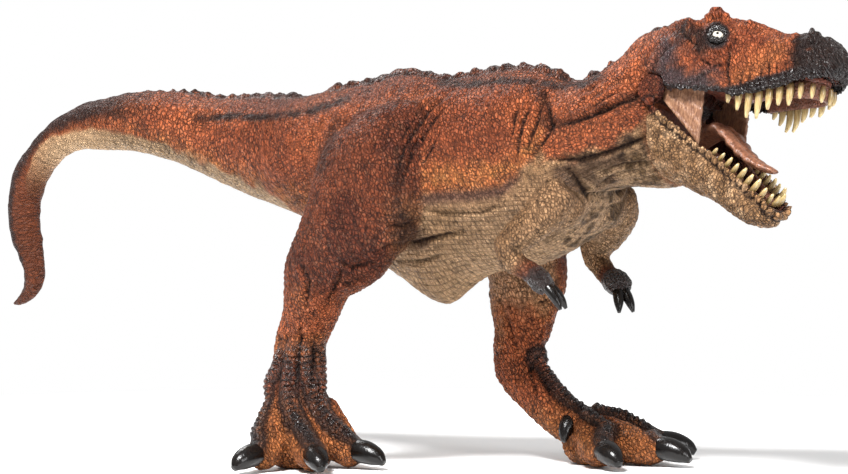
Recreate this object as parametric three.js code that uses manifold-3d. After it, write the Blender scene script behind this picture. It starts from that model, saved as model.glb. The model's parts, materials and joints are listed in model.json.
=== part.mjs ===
// A moulded toy tyrannosaur with an opening jaw, in millimetres, +Z up, heading along +X, its left at +Y.
import * as THREE from "three";
import { mergeVertices } from "three/addons/utils/BufferGeometryUtils.js";
import Module from "manifold-3d";

const wasm = await Module();
wasm.setup();

// Driving sizes of the trunk
const torso_length = 98;
const torso_depth = 71.7;
const torso_width = 47;
const keel_height = 46.5;

// Driving sizes of the tail
const tail_reach = 115.8;
const tail_fall = 50;
const tail_root_depth = 38;
const tail_root_width = 38;
const tail_sway = 8;

// Driving sizes of the neck and of the skull that it carries
const neck_reach = 35.5;
const neck_depth = 50;
const neck_width = 41;
const skull_length = 56.5;
const skull_height = 22.6;
const skull_width = 32;
const skull_turn = -8;
const skull_rise = 2.4;
const skull_tilt = -15;

// Driving sizes of the lower jaw, which hangs open as photographed
const jaw_length = 52.5;
const jaw_depth = 23;
const jaw_width = 31.6;
const jaw_gape = 40.5;
const jaw_wall = 2;

// Driving sizes of the legs
const hip_height = 97;
const leg_stance = 25;
const thigh_depth = 40;
const thigh_width = 24;
const toe_length = 29;
const toe_thickness = 11.4;
const toe_claw_length = 12;
const toe_claw_thickness = 7;
const heel_claw_length = 7;

// Driving sizes of the arms
const arm_length = 34;
const arm_thickness = 10.5;
const arm_stance = 21;
const hand_claw_length = 7;
const hand_claw_thickness = 2.8;

// Driving sizes of the mouth
const lip_wall = 2.3;
const gum_thickness = 2.2;
const gum_height = 2.6;
const longest_upper_tooth = 6.8;
const longest_lower_tooth = 4;
const tooth_thickness = 2.4;
const gum_seat_depth = 4.2;
const palate_height = 4.2;
const palate_thickness = 3.2;
const web_reach = 23;
const web_overlap = 4;
const web_toe_in = 5;
const web_thickness = 1.1;
const tongue_width = 11;
const tongue_thickness = 3.4;
const mouth_floor_thickness = 1.4;
const mouth_floor_width = 17.5;
const throat_thickness = 1.3;

// Driving sizes of the fittings
const eye_diameter = 4.4;
const pin_diameter = 3;
const ear_diameter = 8.4;
const ear_thickness = 3.2;
const peg_diameter = 10;
const peg_length = 9;
const spigot_length = 6;
const spigot_share = 0.55;

// Driving sizes of the row of studs down the back
const tail_stud_pitch = 4.6;
const back_stud_pitch = 5.8;
const neck_stud_pitch = 6.4;
const tail_stud_height = 1.5;
const back_stud_height = 1.9;
const neck_stud_height = 1.9;

// How square a section is: 2 is an oval, and this many is nearly a box
const square = 16;

// Facets round a rod, the hinge pin and an arm's peg
const rod_sides = 20;
const pin_sides = 16;
const peg_sides = 14;

// Clearances
const glue_gap = 0.3;
const running_gap = 0.4;
const overrun = 3;

const radians = THREE.MathUtils.degToRad;
const Y = new THREE.Vector3(0, 1, 0);
const Z = new THREE.Vector3(0, 0, 1);

// A closed geometry as a solid that can be joined and cut
function solid(geometry) {
  const bare = geometry.clone();
  bare.deleteAttribute("normal");
  bare.deleteAttribute("uv");
  const merged = mergeVertices(bare);
  const shape = new wasm.Mesh({
    numProp: 3,
    vertProperties: new Float32Array(merged.attributes.position.array),
    triVerts: new Uint32Array(merged.index.array),
  });
  return new wasm.Manifold(shape);
}

// A solid turned back into a named mesh
function piece(name, body, material) {
  const shape = body.getMesh();
  const geometry = new THREE.BufferGeometry();
  const points = new Float32Array(shape.vertProperties);
  geometry.setAttribute("position", new THREE.BufferAttribute(points, shape.numProp));
  geometry.setIndex(new THREE.BufferAttribute(new Uint32Array(shape.triVerts), 1));
  geometry.computeVertexNormals();
  const mesh = new THREE.Mesh(geometry, material);
  mesh.name = name;
  return mesh;
}

function joined(list) {
  return list.reduce((whole, next) => whole.add(next));
}

function moved(body, matrix) {
  return body.transform(matrix.elements);
}

function finish(colour, roughness) {
  return new THREE.MeshStandardMaterial({ color: colour, roughness, metalness: 0 });
}

// A value between the rows of a table, found by the place in its first column
function between(rows, place, column) {
  const after = rows.findIndex((row) => row[0] >= place);
  if (after < 0) return rows[rows.length - 1][column];
  if (after === 0) return rows[0][column];
  const low = rows[after - 1];
  const high = rows[after];
  return THREE.MathUtils.mapLinear(place, low[0], high[0], low[column], high[column]);
}

// The sections of a skin: spine points, half width, reach above and below, and how square each half is
function sections(stations, { steps, grow = 0, across = Y, above = null }) {
  const spine = new THREE.CatmullRomCurve3(stations.map((s) => s.at), false, "centripetal");
  const sizes = new THREE.CatmullRomCurve3(
    stations.map((s) => new THREE.Vector3(s.wide, s.up, s.down)), false, "catmullrom", 0.5);
  const last = stations.length - 1;
  const rings = [];
  for (let i = 0; i <= steps; i += 1) {
    const share = i / steps;
    const low = Math.min(Math.floor(share * last), last - 1);
    const part = share * last - low;
    const size = sizes.getPoint(share);
    const ahead = spine.getTangent(share);
    const side = above
      ? above.clone().cross(ahead).normalize()
      : across.clone().addScaledVector(ahead, -across.dot(ahead)).normalize();
    const plumb = THREE.MathUtils.lerp(stations[low].plumb ?? 0, stations[low + 1].plumb ?? 0, part);
    rings.push({
      at: spine.getPoint(share),
      side,
      up: ahead.clone().cross(side).lerp(Z, plumb).normalize(),
      wide: Math.max(size.x, 0) + grow,
      high: Math.max(size.y, 0) + grow,
      deep: Math.max(size.z, 0) + grow,
      crown: THREE.MathUtils.lerp(stations[low].crown ?? 2, stations[low + 1].crown ?? 2, part),
      keel: THREE.MathUtils.lerp(stations[low].keel ?? 2, stations[low + 1].keel ?? 2, part),
    });
  }
  return rings;
}

// One point of a section, at an angle from the left side round over the top
function rim(ring, angle) {
  const cosine = Math.cos(angle);
  const sine = Math.sin(angle);
  const power = 2 / (sine >= 0 ? ring.crown : ring.keel);
  const out = Math.sign(cosine) * Math.abs(cosine) ** power * ring.wide;
  const rise = Math.sign(sine) * Math.abs(sine) ** power * (sine >= 0 ? ring.high : ring.deep);
  return ring.at.clone().addScaledVector(ring.side, out).addScaledVector(ring.up, rise);
}

// A closed skin through its sections
function skin(stations, options) {
  const rings = sections(stations, options);
  const { sides, phase = 0 } = options;
  const points = [];
  for (const ring of rings) {
    for (let k = 0; k < sides; k += 1) {
      points.push(...rim(ring, phase + (2 * Math.PI * k) / sides).toArray());
    }
  }
  const start = rings.length * sides;
  const end = start + 1;
  points.push(...rings[0].at.toArray(), ...rings[rings.length - 1].at.toArray());
  const faces = [];
  for (let k = 0; k < sides; k += 1) {
    const next = (k + 1) % sides;
    for (let i = 0; i < rings.length - 1; i += 1) {
      const a = i * sides + k;
      const b = a + sides;
      const c = (i + 1) * sides + next;
      const d = i * sides + next;
      faces.push(a, d, c, a, c, b);
    }
    faces.push(start, next, k, end, start - sides + k, start - sides + next);
  }
  const geometry = new THREE.BufferGeometry();
  geometry.setAttribute("position", new THREE.Float32BufferAttribute(points, 3));
  geometry.setIndex(faces);
  return solid(geometry);
}

// A low rounded stud, scale or pad: half length, half width and height about its centre
function stud(at, long, wide, high, { around = 6, rows = 3, pitch = 0, yaw = 0 } = {}) {
  const ball = new THREE.SphereGeometry(1, around, rows);
  ball.rotateX(Math.PI / 2);
  ball.scale(long, wide, high);
  ball.rotateY(-pitch);
  ball.rotateZ(yaw);
  ball.translate(at.x, at.y, at.z);
  return solid(ball);
}

// A round rod between two points
function rod(from, to, radius, around = rod_sides) {
  const cylinder = new THREE.CylinderGeometry(radius, radius, from.distanceTo(to), around);
  cylinder.applyQuaternion(new THREE.Quaternion().setFromUnitVectors(Y, to.clone().sub(from).normalize()));
  const middle = from.clone().add(to).multiplyScalar(0.5);
  cylinder.translate(middle.x, middle.y, middle.z);
  return solid(cylinder);
}

// A block between two corners
function block(low, high) {
  const size = high.clone().sub(low);
  const box = new THREE.BoxGeometry(size.x, size.y, size.z);
  const middle = low.clone().add(high).multiplyScalar(0.5);
  box.translate(middle.x, middle.y, middle.z);
  return solid(box);
}

// The trunk's sections: place along it, spine height, back, belly, half width and squareness of the belly
const torso_shares = [
  [0, 0.637, 0.897, 0.377, 0.809, 2.0],
  [0.112, 0.62, 0.925, 0.303, 0.872, 2.0],
  [0.224, 0.61, 0.948, 0.223, 0.915, 1.9],
  [0.337, 0.6, 0.958, 0.139, 0.936, 1.75],
  [0.429, 0.595, 0.962, 0.049, 0.936, 1.6],
  [0.507, 0.595, 0.962, 0, 0.936, 1.5],
  [0.561, 0.595, 0.965, 0.031, 0.957, 1.6],
  [0.617, 0.6, 0.976, 0.107, 0.979, 1.8],
  [0.724, 0.6, 0.994, 0.158, 1, 2.0],
  [0.837, 0.61, 1, 0.177, 0.979, 2.1],
  [0.939, 0.615, 0.975, 0.23, 0.915, 2.1],
  [1, 0.62, 0.95, 0.282, 0.872, 2.1],
];

// The tail's sections from its root: reach back, rise, sideways sway and thickness
const tail_shares = [
  [0.101, 0.041, 0.02, 0.88],
  [0.199, 0.077, 0.06, 0.78],
  [0.295, 0.118, 0.14, 0.674],
  [0.391, 0.174, 0.25, 0.6],
  [0.535, 0.214, 0.45, 0.52],
  [0.631, 0.214, 0.62, 0.455],
  [0.727, 0.186, 0.8, 0.39],
  [0.793, 0.14, 0.9, 0.335],
  [0.853, 0.032, 0.97, 0.32],
  [0.903, -0.096, 1, 0.315],
  [0.929, -0.234, 1, 0.305],
  [0.935, -0.374, 1, 0.283],
  [0.928, -0.534, 0.97, 0.25],
  [0.91, -0.676, 0.92, 0.205],
  [0.911, -0.776, 0.88, 0.185],
  [0.932, -0.864, 0.84, 0.145],
  [0.963, -0.916, 0.8, 0.1],
  [1, -0.946, 0.76, 0.03],
];

// The neck's sections: reach ahead, spine, crest and throat as shares of its depth, and half width
const neck_shares = [
  [0.145, 0.54, 0.972, 0.16, 0.97],
  [0.29, 0.6, 1.016, 0.31, 0.93],
  [0.435, 0.65, 1.072, 0.326, 0.9],
  [0.58, 0.7, 1.146, 0.324, 0.87],
  [0.725, 0.74, 1.206, 0.322, 0.84],
  [0.87, 0.78, 1.236, 0.322, 0.8],
  [1, 0.8, 1.25, 0.32, 0.76],
  [1.1, 0.81, 1.22, 0.33, 0.7],
];

const hip_share = 0.4286;
const tail_seam = -hip_share * torso_length;
const neck_seam = torso_length + tail_seam;
const body_sides = 16;

function torsoStations() {
  return torso_shares.map(([along, spine, back, belly, wide, keel]) => ({
    at: new THREE.Vector3(tail_seam + along * torso_length, 0, keel_height + spine * torso_depth),
    wide: (wide * torso_width) / 2,
    up: (back - spine) * torso_depth,
    down: (spine - belly) * torso_depth,
    crown: 1.9,
    keel,
    plumb: 1,
  }));
}

function tailStations() {
  const root = torsoStations()[0].at;
  return tail_shares.map(([back, rise, sway, thick]) => ({
    at: new THREE.Vector3(tail_seam - back * tail_reach, -sway * tail_sway, root.z + rise * tail_fall),
    wide: (thick * tail_root_width) / 2,
    up: (thick * tail_root_depth) / 2,
    down: (thick * tail_root_depth) / 2,
  }));
}

function neckStations() {
  const chest = torsoStations().at(-1);
  const low = chest.at.z - chest.down;
  return neck_shares.map(([ahead, spine, crest, throat, wide]) => ({
    at: new THREE.Vector3(neck_seam + ahead * neck_reach, 0, low + spine * neck_depth),
    wide: (wide * neck_width) / 2,
    up: (crest - spine) * neck_depth,
    down: (spine - throat) * neck_depth,
    plumb: 1,
  }));
}

const body_stations = [...tailStations().reverse(), ...torsoStations(), ...neckStations()];
const body_steps = Math.round(1.6 * (body_stations.length - 1));

// The one skin that tail, trunk and neck share, so that they meet without a step
function bodySkin(grow = 0) {
  return skin(body_stations, { sides: body_sides, steps: body_steps, grow });
}

// The stretch of the body's skin between two upright seams
function stretch(body, from, to) {
  const reach = torso_width + torso_depth;
  const low = new THREE.Vector3(from, -reach, -overrun);
  const high = new THREE.Vector3(to, reach, keel_height + 2 * torso_depth);
  return body.intersect(block(low, high));
}

// A plug across a seam, shaped as the section there
function seamPlug(station, from, to, grow) {
  const ends = [from, to].map((x) => ({
    at: new THREE.Vector3(x, station.at.y, station.at.z),
    wide: station.wide * spigot_share,
    up: station.up * spigot_share,
    down: station.down * spigot_share,
  }));
  return skin(ends, { sides: 16, steps: 1, grow });
}

// Studs down the midline, evenly spaced along the back between two places of the body
function ridge(from, to, pitch, height) {
  const crest = sections(body_stations, { steps: body_steps }).filter((ring) => ring.up.z > 0);
  const tops = crest.map((ring) => rim(ring, Math.PI / 2));
  const line = tops.filter((point) => point.x > from && point.x < to);
  const curve = new THREE.CatmullRomCurve3(line);
  const count = Math.max(2, Math.round(curve.getLength() / pitch));
  const studs = [];
  for (let i = 0; i < count; i += 1) {
    const share = (i + 0.5) / count;
    const at = curve.getPointAt(share);
    const ahead = curve.getTangentAt(share);
    const lean = Math.atan2(ahead.z, ahead.x);
    studs.push(stud(at, pitch * 0.46, height * 0.75, height, { pitch: lean }));
  }
  return studs;
}

// The skull's sections from the jaw hinge: place along it, spine, top, lip line, half width
const skull_shares = [
  [-0.23, 0.35, 0.84, -0.18, 0.86],
  [-0.066, 0.35, 0.95, -0.09, 0.96],
  [0.1, 0.35, 0.987, -0.066, 1],
  [0.23, 0.35, 1, -0.115, 1],
  [0.33, 0.34, 1, -0.142, 0.97],
  [0.46, 0.31, 0.911, -0.164, 0.886],
  [0.56, 0.29, 0.823, -0.146, 0.8],
  [0.69, 0.29, 0.743, -0.084, 0.7],
  [0.81, 0.31, 0.743, 0, 0.636],
  [0.91, 0.32, 0.673, 0.049, 0.529],
  [0.967, 0.3, 0.509, 0.071, 0.386],
  [1, 0.257, 0.354, 0.133, 0.18],
];

function skullStations() {
  return skull_shares.map(([along, spine, top, lip, wide]) => ({
    at: new THREE.Vector3(along * skull_length, 0, spine * skull_height),
    wide: (wide * skull_width) / 2,
    up: (top - spine) * skull_height,
    down: (spine - lip) * skull_height,
    crown: 2.5,
    keel: 5,
  }));
}

// The lower jaw's sections from the hinge: place along it, spine, rim, underside, half width
const jaw_shares = [
  [-0.1, -0.24, -0.07, -1.02, 1],
  [0, -0.24, -0.06, -1, 1],
  [0.165, -0.24, -0.064, -0.9, 0.97],
  [0.33, -0.2, 0, -0.744, 0.9],
  [0.495, -0.18, 0, -0.624, 0.79],
  [0.66, -0.16, 0.01, -0.496, 0.685],
  [0.825, -0.15, 0.016, -0.432, 0.565],
  [0.917, -0.14, 0.02, -0.36, 0.45],
  [0.972, -0.13, 0, -0.26, 0.3],
  [1, -0.12, -0.04, -0.2, 0.13],
];

function jawStations() {
  return jaw_shares.map(([along, spine, top, bottom, wide]) => ({
    at: new THREE.Vector3(along * jaw_length, 0, spine * jaw_depth),
    wide: (wide * jaw_width) / 2,
    up: (top - spine) * jaw_depth,
    down: (spine - bottom) * jaw_depth,
    crown: 3.4,
    keel: 2.2,
  }));
}

// How wide the lip line is for the jaw's width, and how far back the tooth rows and the mouth reach
const lip_width_share = 0.86;
const upper_row_share = 0.42;
const lower_row_share = 0.5;
const mouth_start_share = 0.12;
const jaw_seat_share = 0.47;

// A jaw's lip line seen from above, from its right rear corner round the front to the left, set in by inset
function jawLine(shares, length, width, from_share, inset) {
  const nose = new THREE.Vector3(length - lip_wall, 0, 0);
  const rows = shares.filter((row) => row[0] > from_share && row[0] * length < nose.x);
  const places = [from_share, ...rows.map((row) => row[0])];
  const edge = places.map((along) => new THREE.Vector3(
    along * length, (-between(shares, along, 4) * width * lip_width_share) / 2, 0));
  const right = edge.map((point, i) => {
    const next = edge[i + 1] ?? nose;
    const last = edge[i - 1] ?? point;
    const ahead = next.clone().sub(last).normalize();
    return point.clone().addScaledVector(Z.clone().cross(ahead), inset);
  }).filter((point) => point.y < -inset / 2 && point.x < nose.x - inset);
  const left = right.map((point) => new THREE.Vector3(point.x, -point.y, 0)).reverse();
  const front = new THREE.Vector3(nose.x - inset, 0, 0);
  const curve = new THREE.CatmullRomCurve3([...right, front, ...left], false, "centripetal");
  return curve.getSpacedPoints(22);
}

// The jaw line as an upright solid between two heights
function jawSlab(line, low, high) {
  const outline = new THREE.Shape(line.map((point) => new THREE.Vector2(point.x, point.y)));
  const slab = new THREE.ExtrudeGeometry(outline, { depth: high - low, bevelEnabled: false });
  slab.translate(0, 0, low);
  return solid(slab);
}

// A curved tooth, from its root along its bow to its tip
function tooth(root, length, thickness, down) {
  const back = length * 0.16;
  const at = (share, slip) => new THREE.Vector3(
    root.x - slip * back, root.y, root.z + down * share * length);
  const stations = [
    { at: at((-0.4 * gum_height) / length, 0), size: 0.9 },
    { at: at(0.3, -0.2), size: 0.92 },
    { at: at(0.7, 0.2), size: 0.6 },
    { at: at(1, 1), size: 0.12 },
  ].map(({ at: place, size }) => ({
    at: place,
    wide: (size * thickness) / 2,
    up: (size * thickness) / 2,
    down: (size * thickness) / 2,
  }));
  return skin(stations, { sides: 4, steps: 2 });
}

// A gum band along a jaw line with its teeth, whose lengths run from the front tooth back
function toothRow({ shares, length, width, height, lip_column, from_share, seat, lengths, longest, down }) {
  const line = jawLine(shares, length, width, from_share, 2 * glue_gap + gum_thickness / 2);
  const deepest = seat - gum_height / 2 - glue_gap;
  const level = (x) => {
    const lip = between(shares, x / length, lip_column) * height;
    return -down * Math.min(deepest, -down * lip + gum_height * gum_lift_share);
  };
  const curve = new THREE.CatmullRomCurve3(line.map((point) => point.clone().setZ(level(point.x))));
  const band = curve.getSpacedPoints(12).map((at) => ({
    at,
    wide: gum_thickness / 2,
    up: gum_height / 2,
    down: gum_height / 2,
    crown: square,
    keel: square,
  }));
  const row = [skin(band, { sides: 4, phase: Math.PI / 4, steps: band.length - 1, above: Z })];
  const pitch = 0.5 / (lengths.length + 0.3);
  lengths.forEach((share, i) => {
    for (const side of [-1, 1]) {
      const at = curve.getPointAt(0.5 + side * pitch * (i + 0.5));
      const thick = tooth_thickness * (0.72 + 0.28 * share);
      row.push(tooth(at, share * longest + gum_height * gum_lift_share, thick, down));
    }
  });
  return joined(row);
}

const gum_lift_share = 0.75;
const upper_tooth_shares = [0.55, 0.6, 0.68, 0.78, 0.92, 1, 0.95, 0.8, 0.66, 0.52];
const lower_tooth_shares = [0.65, 0.88, 1, 0.96, 0.9, 0.82, 0.74, 0.64, 0.52];

// The two frames of the head: the skull about the jaw hinge, and the jaw hanging open from it
const skull_base_share = 0.8605;
const hinge = new THREE.Vector3(
  neck_seam + neck_reach, 0, keel_height + skull_base_share * torso_depth);
const head_turn = new THREE.Euler(radians(skull_tilt), radians(-skull_rise), radians(skull_turn), "ZYX");
const head_frame = new THREE.Matrix4().makeRotationFromEuler(head_turn).setPosition(hinge);
const head_inverse = head_frame.clone().invert();
const jaw_frame = new THREE.Matrix4().makeRotationY(radians(jaw_gape));
const jaw_inverse = jaw_frame.clone().invert();

// Half widths of the parts that stack up across the hinge, from the middle out
const ear_outside = jaw_width / 2;
const ear_inside = ear_outside - ear_thickness;
const web_middle = ear_inside - running_gap - web_thickness / 2;
const boss_half_width = web_middle - web_thickness / 2 - glue_gap;

// The room ahead of the throat's upright face and below the hinge, in the head's frame
function aheadOfThroat(offset) {
  const reach = 2 * skull_length;
  return block(new THREE.Vector3(offset, -reach, -reach), new THREE.Vector3(reach, reach, 0));
}

// The fold of skin that closes a corner of the mouth, grown by a clearance
function cheekWeb(side, grow = 0) {
  const low = radians(-jaw_gape - web_overlap);
  const near = ear_diameter * 0.3;
  const front = web_reach * Math.cos(low) + grow;
  const fold = new THREE.Shape();
  const rear = pin_diameter * 0.8 - grow;
  fold.moveTo(rear, near + grow);
  fold.lineTo(front, near + grow);
  fold.lineTo(front, web_reach * Math.sin(low) - grow);
  fold.lineTo(rear, -near - grow);
  const sheet = new THREE.ExtrudeGeometry(fold, { depth: web_thickness + 2 * grow, bevelEnabled: false });
  sheet.rotateX(Math.PI / 2);
  sheet.translate(0, web_thickness / 2 + grow, 0);
  sheet.rotateZ(-side * radians(web_toe_in));
  sheet.translate(0, side * web_middle, 0);
  return solid(sheet);
}

const eye_share = { along: 0.365, out: 0.41, up: 0.63 };

function eyeCentre(side) {
  return new THREE.Vector3(
    eye_share.along * skull_length, side * eye_share.out * skull_width, eye_share.up * skull_height);
}

function eye(side, grow = 0) {
  const radius = eye_diameter / 2 + grow;
  return stud(eyeCentre(side), radius, radius, radius, { around: 8, rows: 6 });
}

// Horns and bosses of the skull: place along, out and up, then half length, half width and height
const skull_boss_shares = [
  [0.3, 0.3, 0.93, 0.075, 0.09, 0.14],
  [0.2, 0.38, 0.78, 0.07, 0.09, 0.14],
  [0.5, 0.2, 0.82, 0.06, 0.075, 0.08],
  [0.64, 0.16, 0.7, 0.05, 0.06, 0.06],
  [0.84, 0.12, 0.67, 0.06, 0.075, 0.09],
  [0.04, 0.2, 0.9, 0.07, 0.09, 0.12],
  [0.38, 0.45, 0.46, 0.09, 0.05, 0.08],
];

function skullBosses() {
  return [-1, 1].flatMap((side) => skull_boss_shares.map(([along, out, up, long, wide, high]) => stud(
    new THREE.Vector3(along * skull_length, side * out * skull_width, up * skull_height),
    long * skull_length, wide * skull_width, high * skull_height)));
}

function nostril(side) {
  const at = new THREE.Vector3(0.875 * skull_length, side * 0.27 * skull_width, 0.53 * skull_height);
  return stud(at, 0.035 * skull_length, 0.06 * skull_width, 0.06 * skull_height);
}

function head(body) {
  const neck = stretch(body, neck_seam + glue_gap / 2, hinge.x + skull_length);
  const plug = seamPlug(torsoStations().at(-1), neck_seam - spigot_length, neck_seam + overrun, 0);
  const crest = ridge(neck_seam, hinge.x - overrun, neck_stud_pitch, neck_stud_height);
  const nape = moved(joined([neck, plug, ...crest]), head_inverse);
  const skull = skin(skullStations(), { sides: 16, steps: 17 });
  const clear_of_jaw = nape.subtract(aheadOfThroat(-running_gap));
  const boss = rod(
    new THREE.Vector3(0, -boss_half_width, 0), new THREE.Vector3(0, boss_half_width, 0), ear_diameter / 2);
  let whole = joined([clear_of_jaw, skull, boss, ...skullBosses()]);
  const mouth = jawLine(skull_shares, skull_length, skull_width, mouth_start_share, 0);
  whole = whole.subtract(jawSlab(mouth, -skull_height, palate_height));
  for (const side of [-1, 1]) {
    const inner = new THREE.Vector3(0, side * (ear_inside - running_gap), 0);
    const outer = new THREE.Vector3(0, side * (ear_outside + skull_width), 0);
    whole = whole.subtract(rod(inner, outer, ear_diameter / 2 + running_gap));
    whole = whole.subtract(cheekWeb(side, glue_gap));
    whole = whole.subtract(eye(side, glue_gap));
    whole = whole.subtract(nostril(side));
  }
  return whole.subtract(pin(glue_gap));
}

function pin(grow = 0) {
  const half = ear_outside - ear_thickness * 0.4 + grow;
  return rod(
    new THREE.Vector3(0, -half, 0), new THREE.Vector3(0, half, 0), pin_diameter / 2 + grow, pin_sides);
}

// The roof of the mouth, vaulted below
function palate() {
  const inset = gum_thickness + 3 * glue_gap;
  const line = jawLine(skull_shares, skull_length, skull_width, mouth_start_share + 0.02, inset);
  const top = palate_height - glue_gap;
  const webs = joined([cheekWeb(-1, glue_gap), cheekWeb(1, glue_gap)]);
  const plate = jawSlab(line, top - palate_thickness, top).subtract(webs);
  const vault = stud(
    new THREE.Vector3(0.5 * skull_length, 0, top - palate_thickness),
    0.52 * skull_length, 0.24 * skull_width, palate_thickness * 0.6, { around: 10, rows: 6 });
  return plate.subtract(vault);
}

// The wall behind the tongue, on the neck's upright face
function throat() {
  const back = glue_gap - running_gap;
  const half = boss_half_width - glue_gap;
  return block(
    new THREE.Vector3(back, -half, -0.5 * jaw_depth),
    new THREE.Vector3(back + throat_thickness, half, -ear_diameter / 2 - running_gap));
}

const trough_floor_shares = [
  [-0.1, 0.6],
  [0.165, 0.6],
  [0.33, 0.58],
  [0.45, 0.48],
  [0.6, 0.36],
  [0.78, 0.3],
  [0.93, 0.24],
];

// The hollow of the lower jaw, shrunk by inset for what lies in it
function trough(inset = 0) {
  const stations = trough_floor_shares.map(([along, floor]) => {
    const wide = (between(jaw_shares, along, 4) * jaw_width) / 2 - jaw_wall;
    return {
      at: new THREE.Vector3(along * jaw_length - inset, 0, 0),
      wide: wide * (along > 0.9 ? 0.6 : 1) - inset,
      up: jaw_depth,
      down: floor * jaw_depth - inset,
      crown: square,
      keel: 5,
    };
  });
  return skin(stations, { sides: 14, steps: 10 });
}

function lowerJaw() {
  const shell = skin(jawStations(), { sides: 16, steps: 13 });
  const hollow = shell.subtract(trough());
  const line = jawLine(jaw_shares, jaw_length, jaw_width, jaw_seat_share, 0);
  const seat = jawSlab(line, -gum_seat_depth, jaw_depth);
  const open = hollow.subtract(seat);
  const front = moved(aheadOfThroat(0), jaw_inverse);
  const ramus = open.intersect(front);
  const ears = [-1, 1].map((side) => rod(
    new THREE.Vector3(0, side * ear_inside, 0),
    new THREE.Vector3(0, side * ear_outside, 0),
    ear_diameter / 2));
  return joined([ramus, ...ears]).subtract(pin(glue_gap));
}

// The tongue and the floor of the mouth that it grows from
const tongue_shares = [
  [0.25, -0.52, 0.8, 1.5],
  [0.28, -0.1, 0.9, 1.5],
  [0.34, 0.13, 1, 1.15],
  [0.44, 0.17, 1, 1],
  [0.55, 0.15, 0.94, 0.95],
  [0.67, 0.18, 0.84, 0.85],
  [0.76, 0.25, 0.66, 0.7],
  [0.81, 0.31, 0.35, 0.4],
];

function tongue() {
  const bed = trough(glue_gap);
  const low = new THREE.Vector3(0.22 * jaw_length, -mouth_floor_width / 2, -jaw_depth);
  const high = new THREE.Vector3(jaw_length, mouth_floor_width / 2, jaw_depth);
  const lift = new THREE.Matrix4().makeTranslation(0, 0, mouth_floor_thickness);
  const above_bed = moved(trough(), lift);
  const floor = bed.intersect(block(low, high)).subtract(above_bed);
  const flesh = tongue_shares.map(([along, rise, wide, thick]) => ({
    at: new THREE.Vector3(along * jaw_length, 0, rise * jaw_depth),
    wide: (wide * tongue_width) / 2,
    up: (thick * tongue_thickness) / 2,
    down: (thick * tongue_thickness) / 2,
    crown: 2.4,
  }));
  return floor.add(skin(flesh, { sides: 10, steps: 10 })).intersect(bed);
}

// A leg's sections: ahead as a share of the stride, out as a share of the stance and up as a share of
// the hip height, then half width, front and rear as shares of the thigh
const stride = 0.99 * torso_length;
const right_leg_shares = [
  [-0.02, 0.48, 1.072, 0.67, 0.75, 0.7],
  [-0.01, 0.64, 0.99, 0.92, 0.95, 0.9],
  [-0.046, 0.8, 0.887, 1, 1, 0.97],
  [-0.072, 0.92, 0.784, 1, 0.93, 0.925],
  [-0.125, 1, 0.68, 0.92, 0.8, 0.82],
  [-0.2, 1.02, 0.608, 0.82, 0.6, 0.69],
  [-0.23, 1, 0.536, 0.72, 0.49, 0.54],
  [-0.27, 0.92, 0.454, 0.63, 0.44, 0.5],
  [-0.325, 0.84, 0.381, 0.58, 0.42, 0.46],
  [-0.333, 0.84, 0.299, 0.6, 0.47, 0.49],
  [-0.338, 0.9, 0.216, 0.67, 0.45, 0.47],
  [-0.32, 0.96, 0.134, 0.72, 0.44, 0.43],
  [-0.305, 0.98, 0.03, 0.7, 0.42, 0.38],
];
const left_leg_shares = [
  [0, 0.48, 1.072, 0.67, 0.75, 0.7],
  [0.02, 0.64, 0.99, 0.92, 0.95, 0.9],
  [0.072, 0.8, 0.887, 1, 1, 0.95],
  [0.124, 0.92, 0.784, 1, 0.9, 0.9],
  [0.175, 1, 0.68, 0.92, 0.8, 0.75],
  [0.211, 1.02, 0.598, 0.82, 0.7, 0.675],
  [0.206, 1, 0.515, 0.72, 0.66, 0.66],
  [0.206, 0.94, 0.443, 0.63, 0.525, 0.6],
  [0.199, 0.9, 0.371, 0.58, 0.45, 0.45],
  [0.184, 0.88, 0.309, 0.6, 0.45, 0.45],
  [0.216, 0.87, 0.247, 0.62, 0.375, 0.35],
  [0.284, 0.86, 0.191, 0.66, 0.35, 0.325],
  [0.351, 0.85, 0.139, 0.72, 0.35, 0.3],
  [0.423, 0.84, 0.098, 0.78, 0.33, 0.275],
  [0.474, 0.84, 0.072, 0.8, 0.3, 0.25],
];

// A foot: where its ball is, how its toes arch, and each toe's heading, length and place across the ball
const feet = {
  right: {
    shares: right_leg_shares, side: -1, ball: [-0.3, 0.97], yaw: -43, arch: 1.5,
    toes: [[-93, 0.8, -0.5], [-43, 1, 0], [-5, 0.84, 0.5]], heel_yaw: 60,
  },
  left: {
    shares: left_leg_shares, side: 1, ball: [0.474, 0.84], yaw: -2, arch: 0.5,
    toes: [[-34, 0.86, -0.5], [-2, 1.16, 0], [30, 0.92, 0.5]], heel_yaw: -80,
  },
};

function heading(degrees) {
  return new THREE.Vector3(Math.cos(radians(degrees)), Math.sin(radians(degrees)), 0);
}

// A claw from its root, curving down to the ground
function claw(root, ahead, length, thickness, drop) {
  const reach = (share, fall) => root.clone()
    .addScaledVector(ahead, share * length)
    .addScaledVector(Z, -fall * drop);
  const stations = [
    { at: reach(-0.25, -0.1), size: 0.8 },
    { at: reach(0.05, -0.05), size: 1 },
    { at: reach(0.4, 0.12), size: 0.86 },
    { at: reach(0.75, 0.5), size: 0.55 },
    { at: reach(1, 1), size: 0.14 },
  ].map(({ at, size }) => ({
    at,
    wide: (size * thickness) / 2,
    up: (size * thickness) / 2,
    down: (size * thickness) / 2,
  }));
  return skin(stations, { sides: 6, steps: 4, above: Z });
}

const toe_shares = [
  [-0.1, 0.75, 1.05],
  [0.08, 0.63, 1.1],
  [0.25, 0.54, 1.1],
  [0.4, 0.5, 1.06],
  [0.55, 0.47, 1.02],
  [0.68, 0.44, 0.98],
  [0.8, 0.39, 0.74],
];

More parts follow.
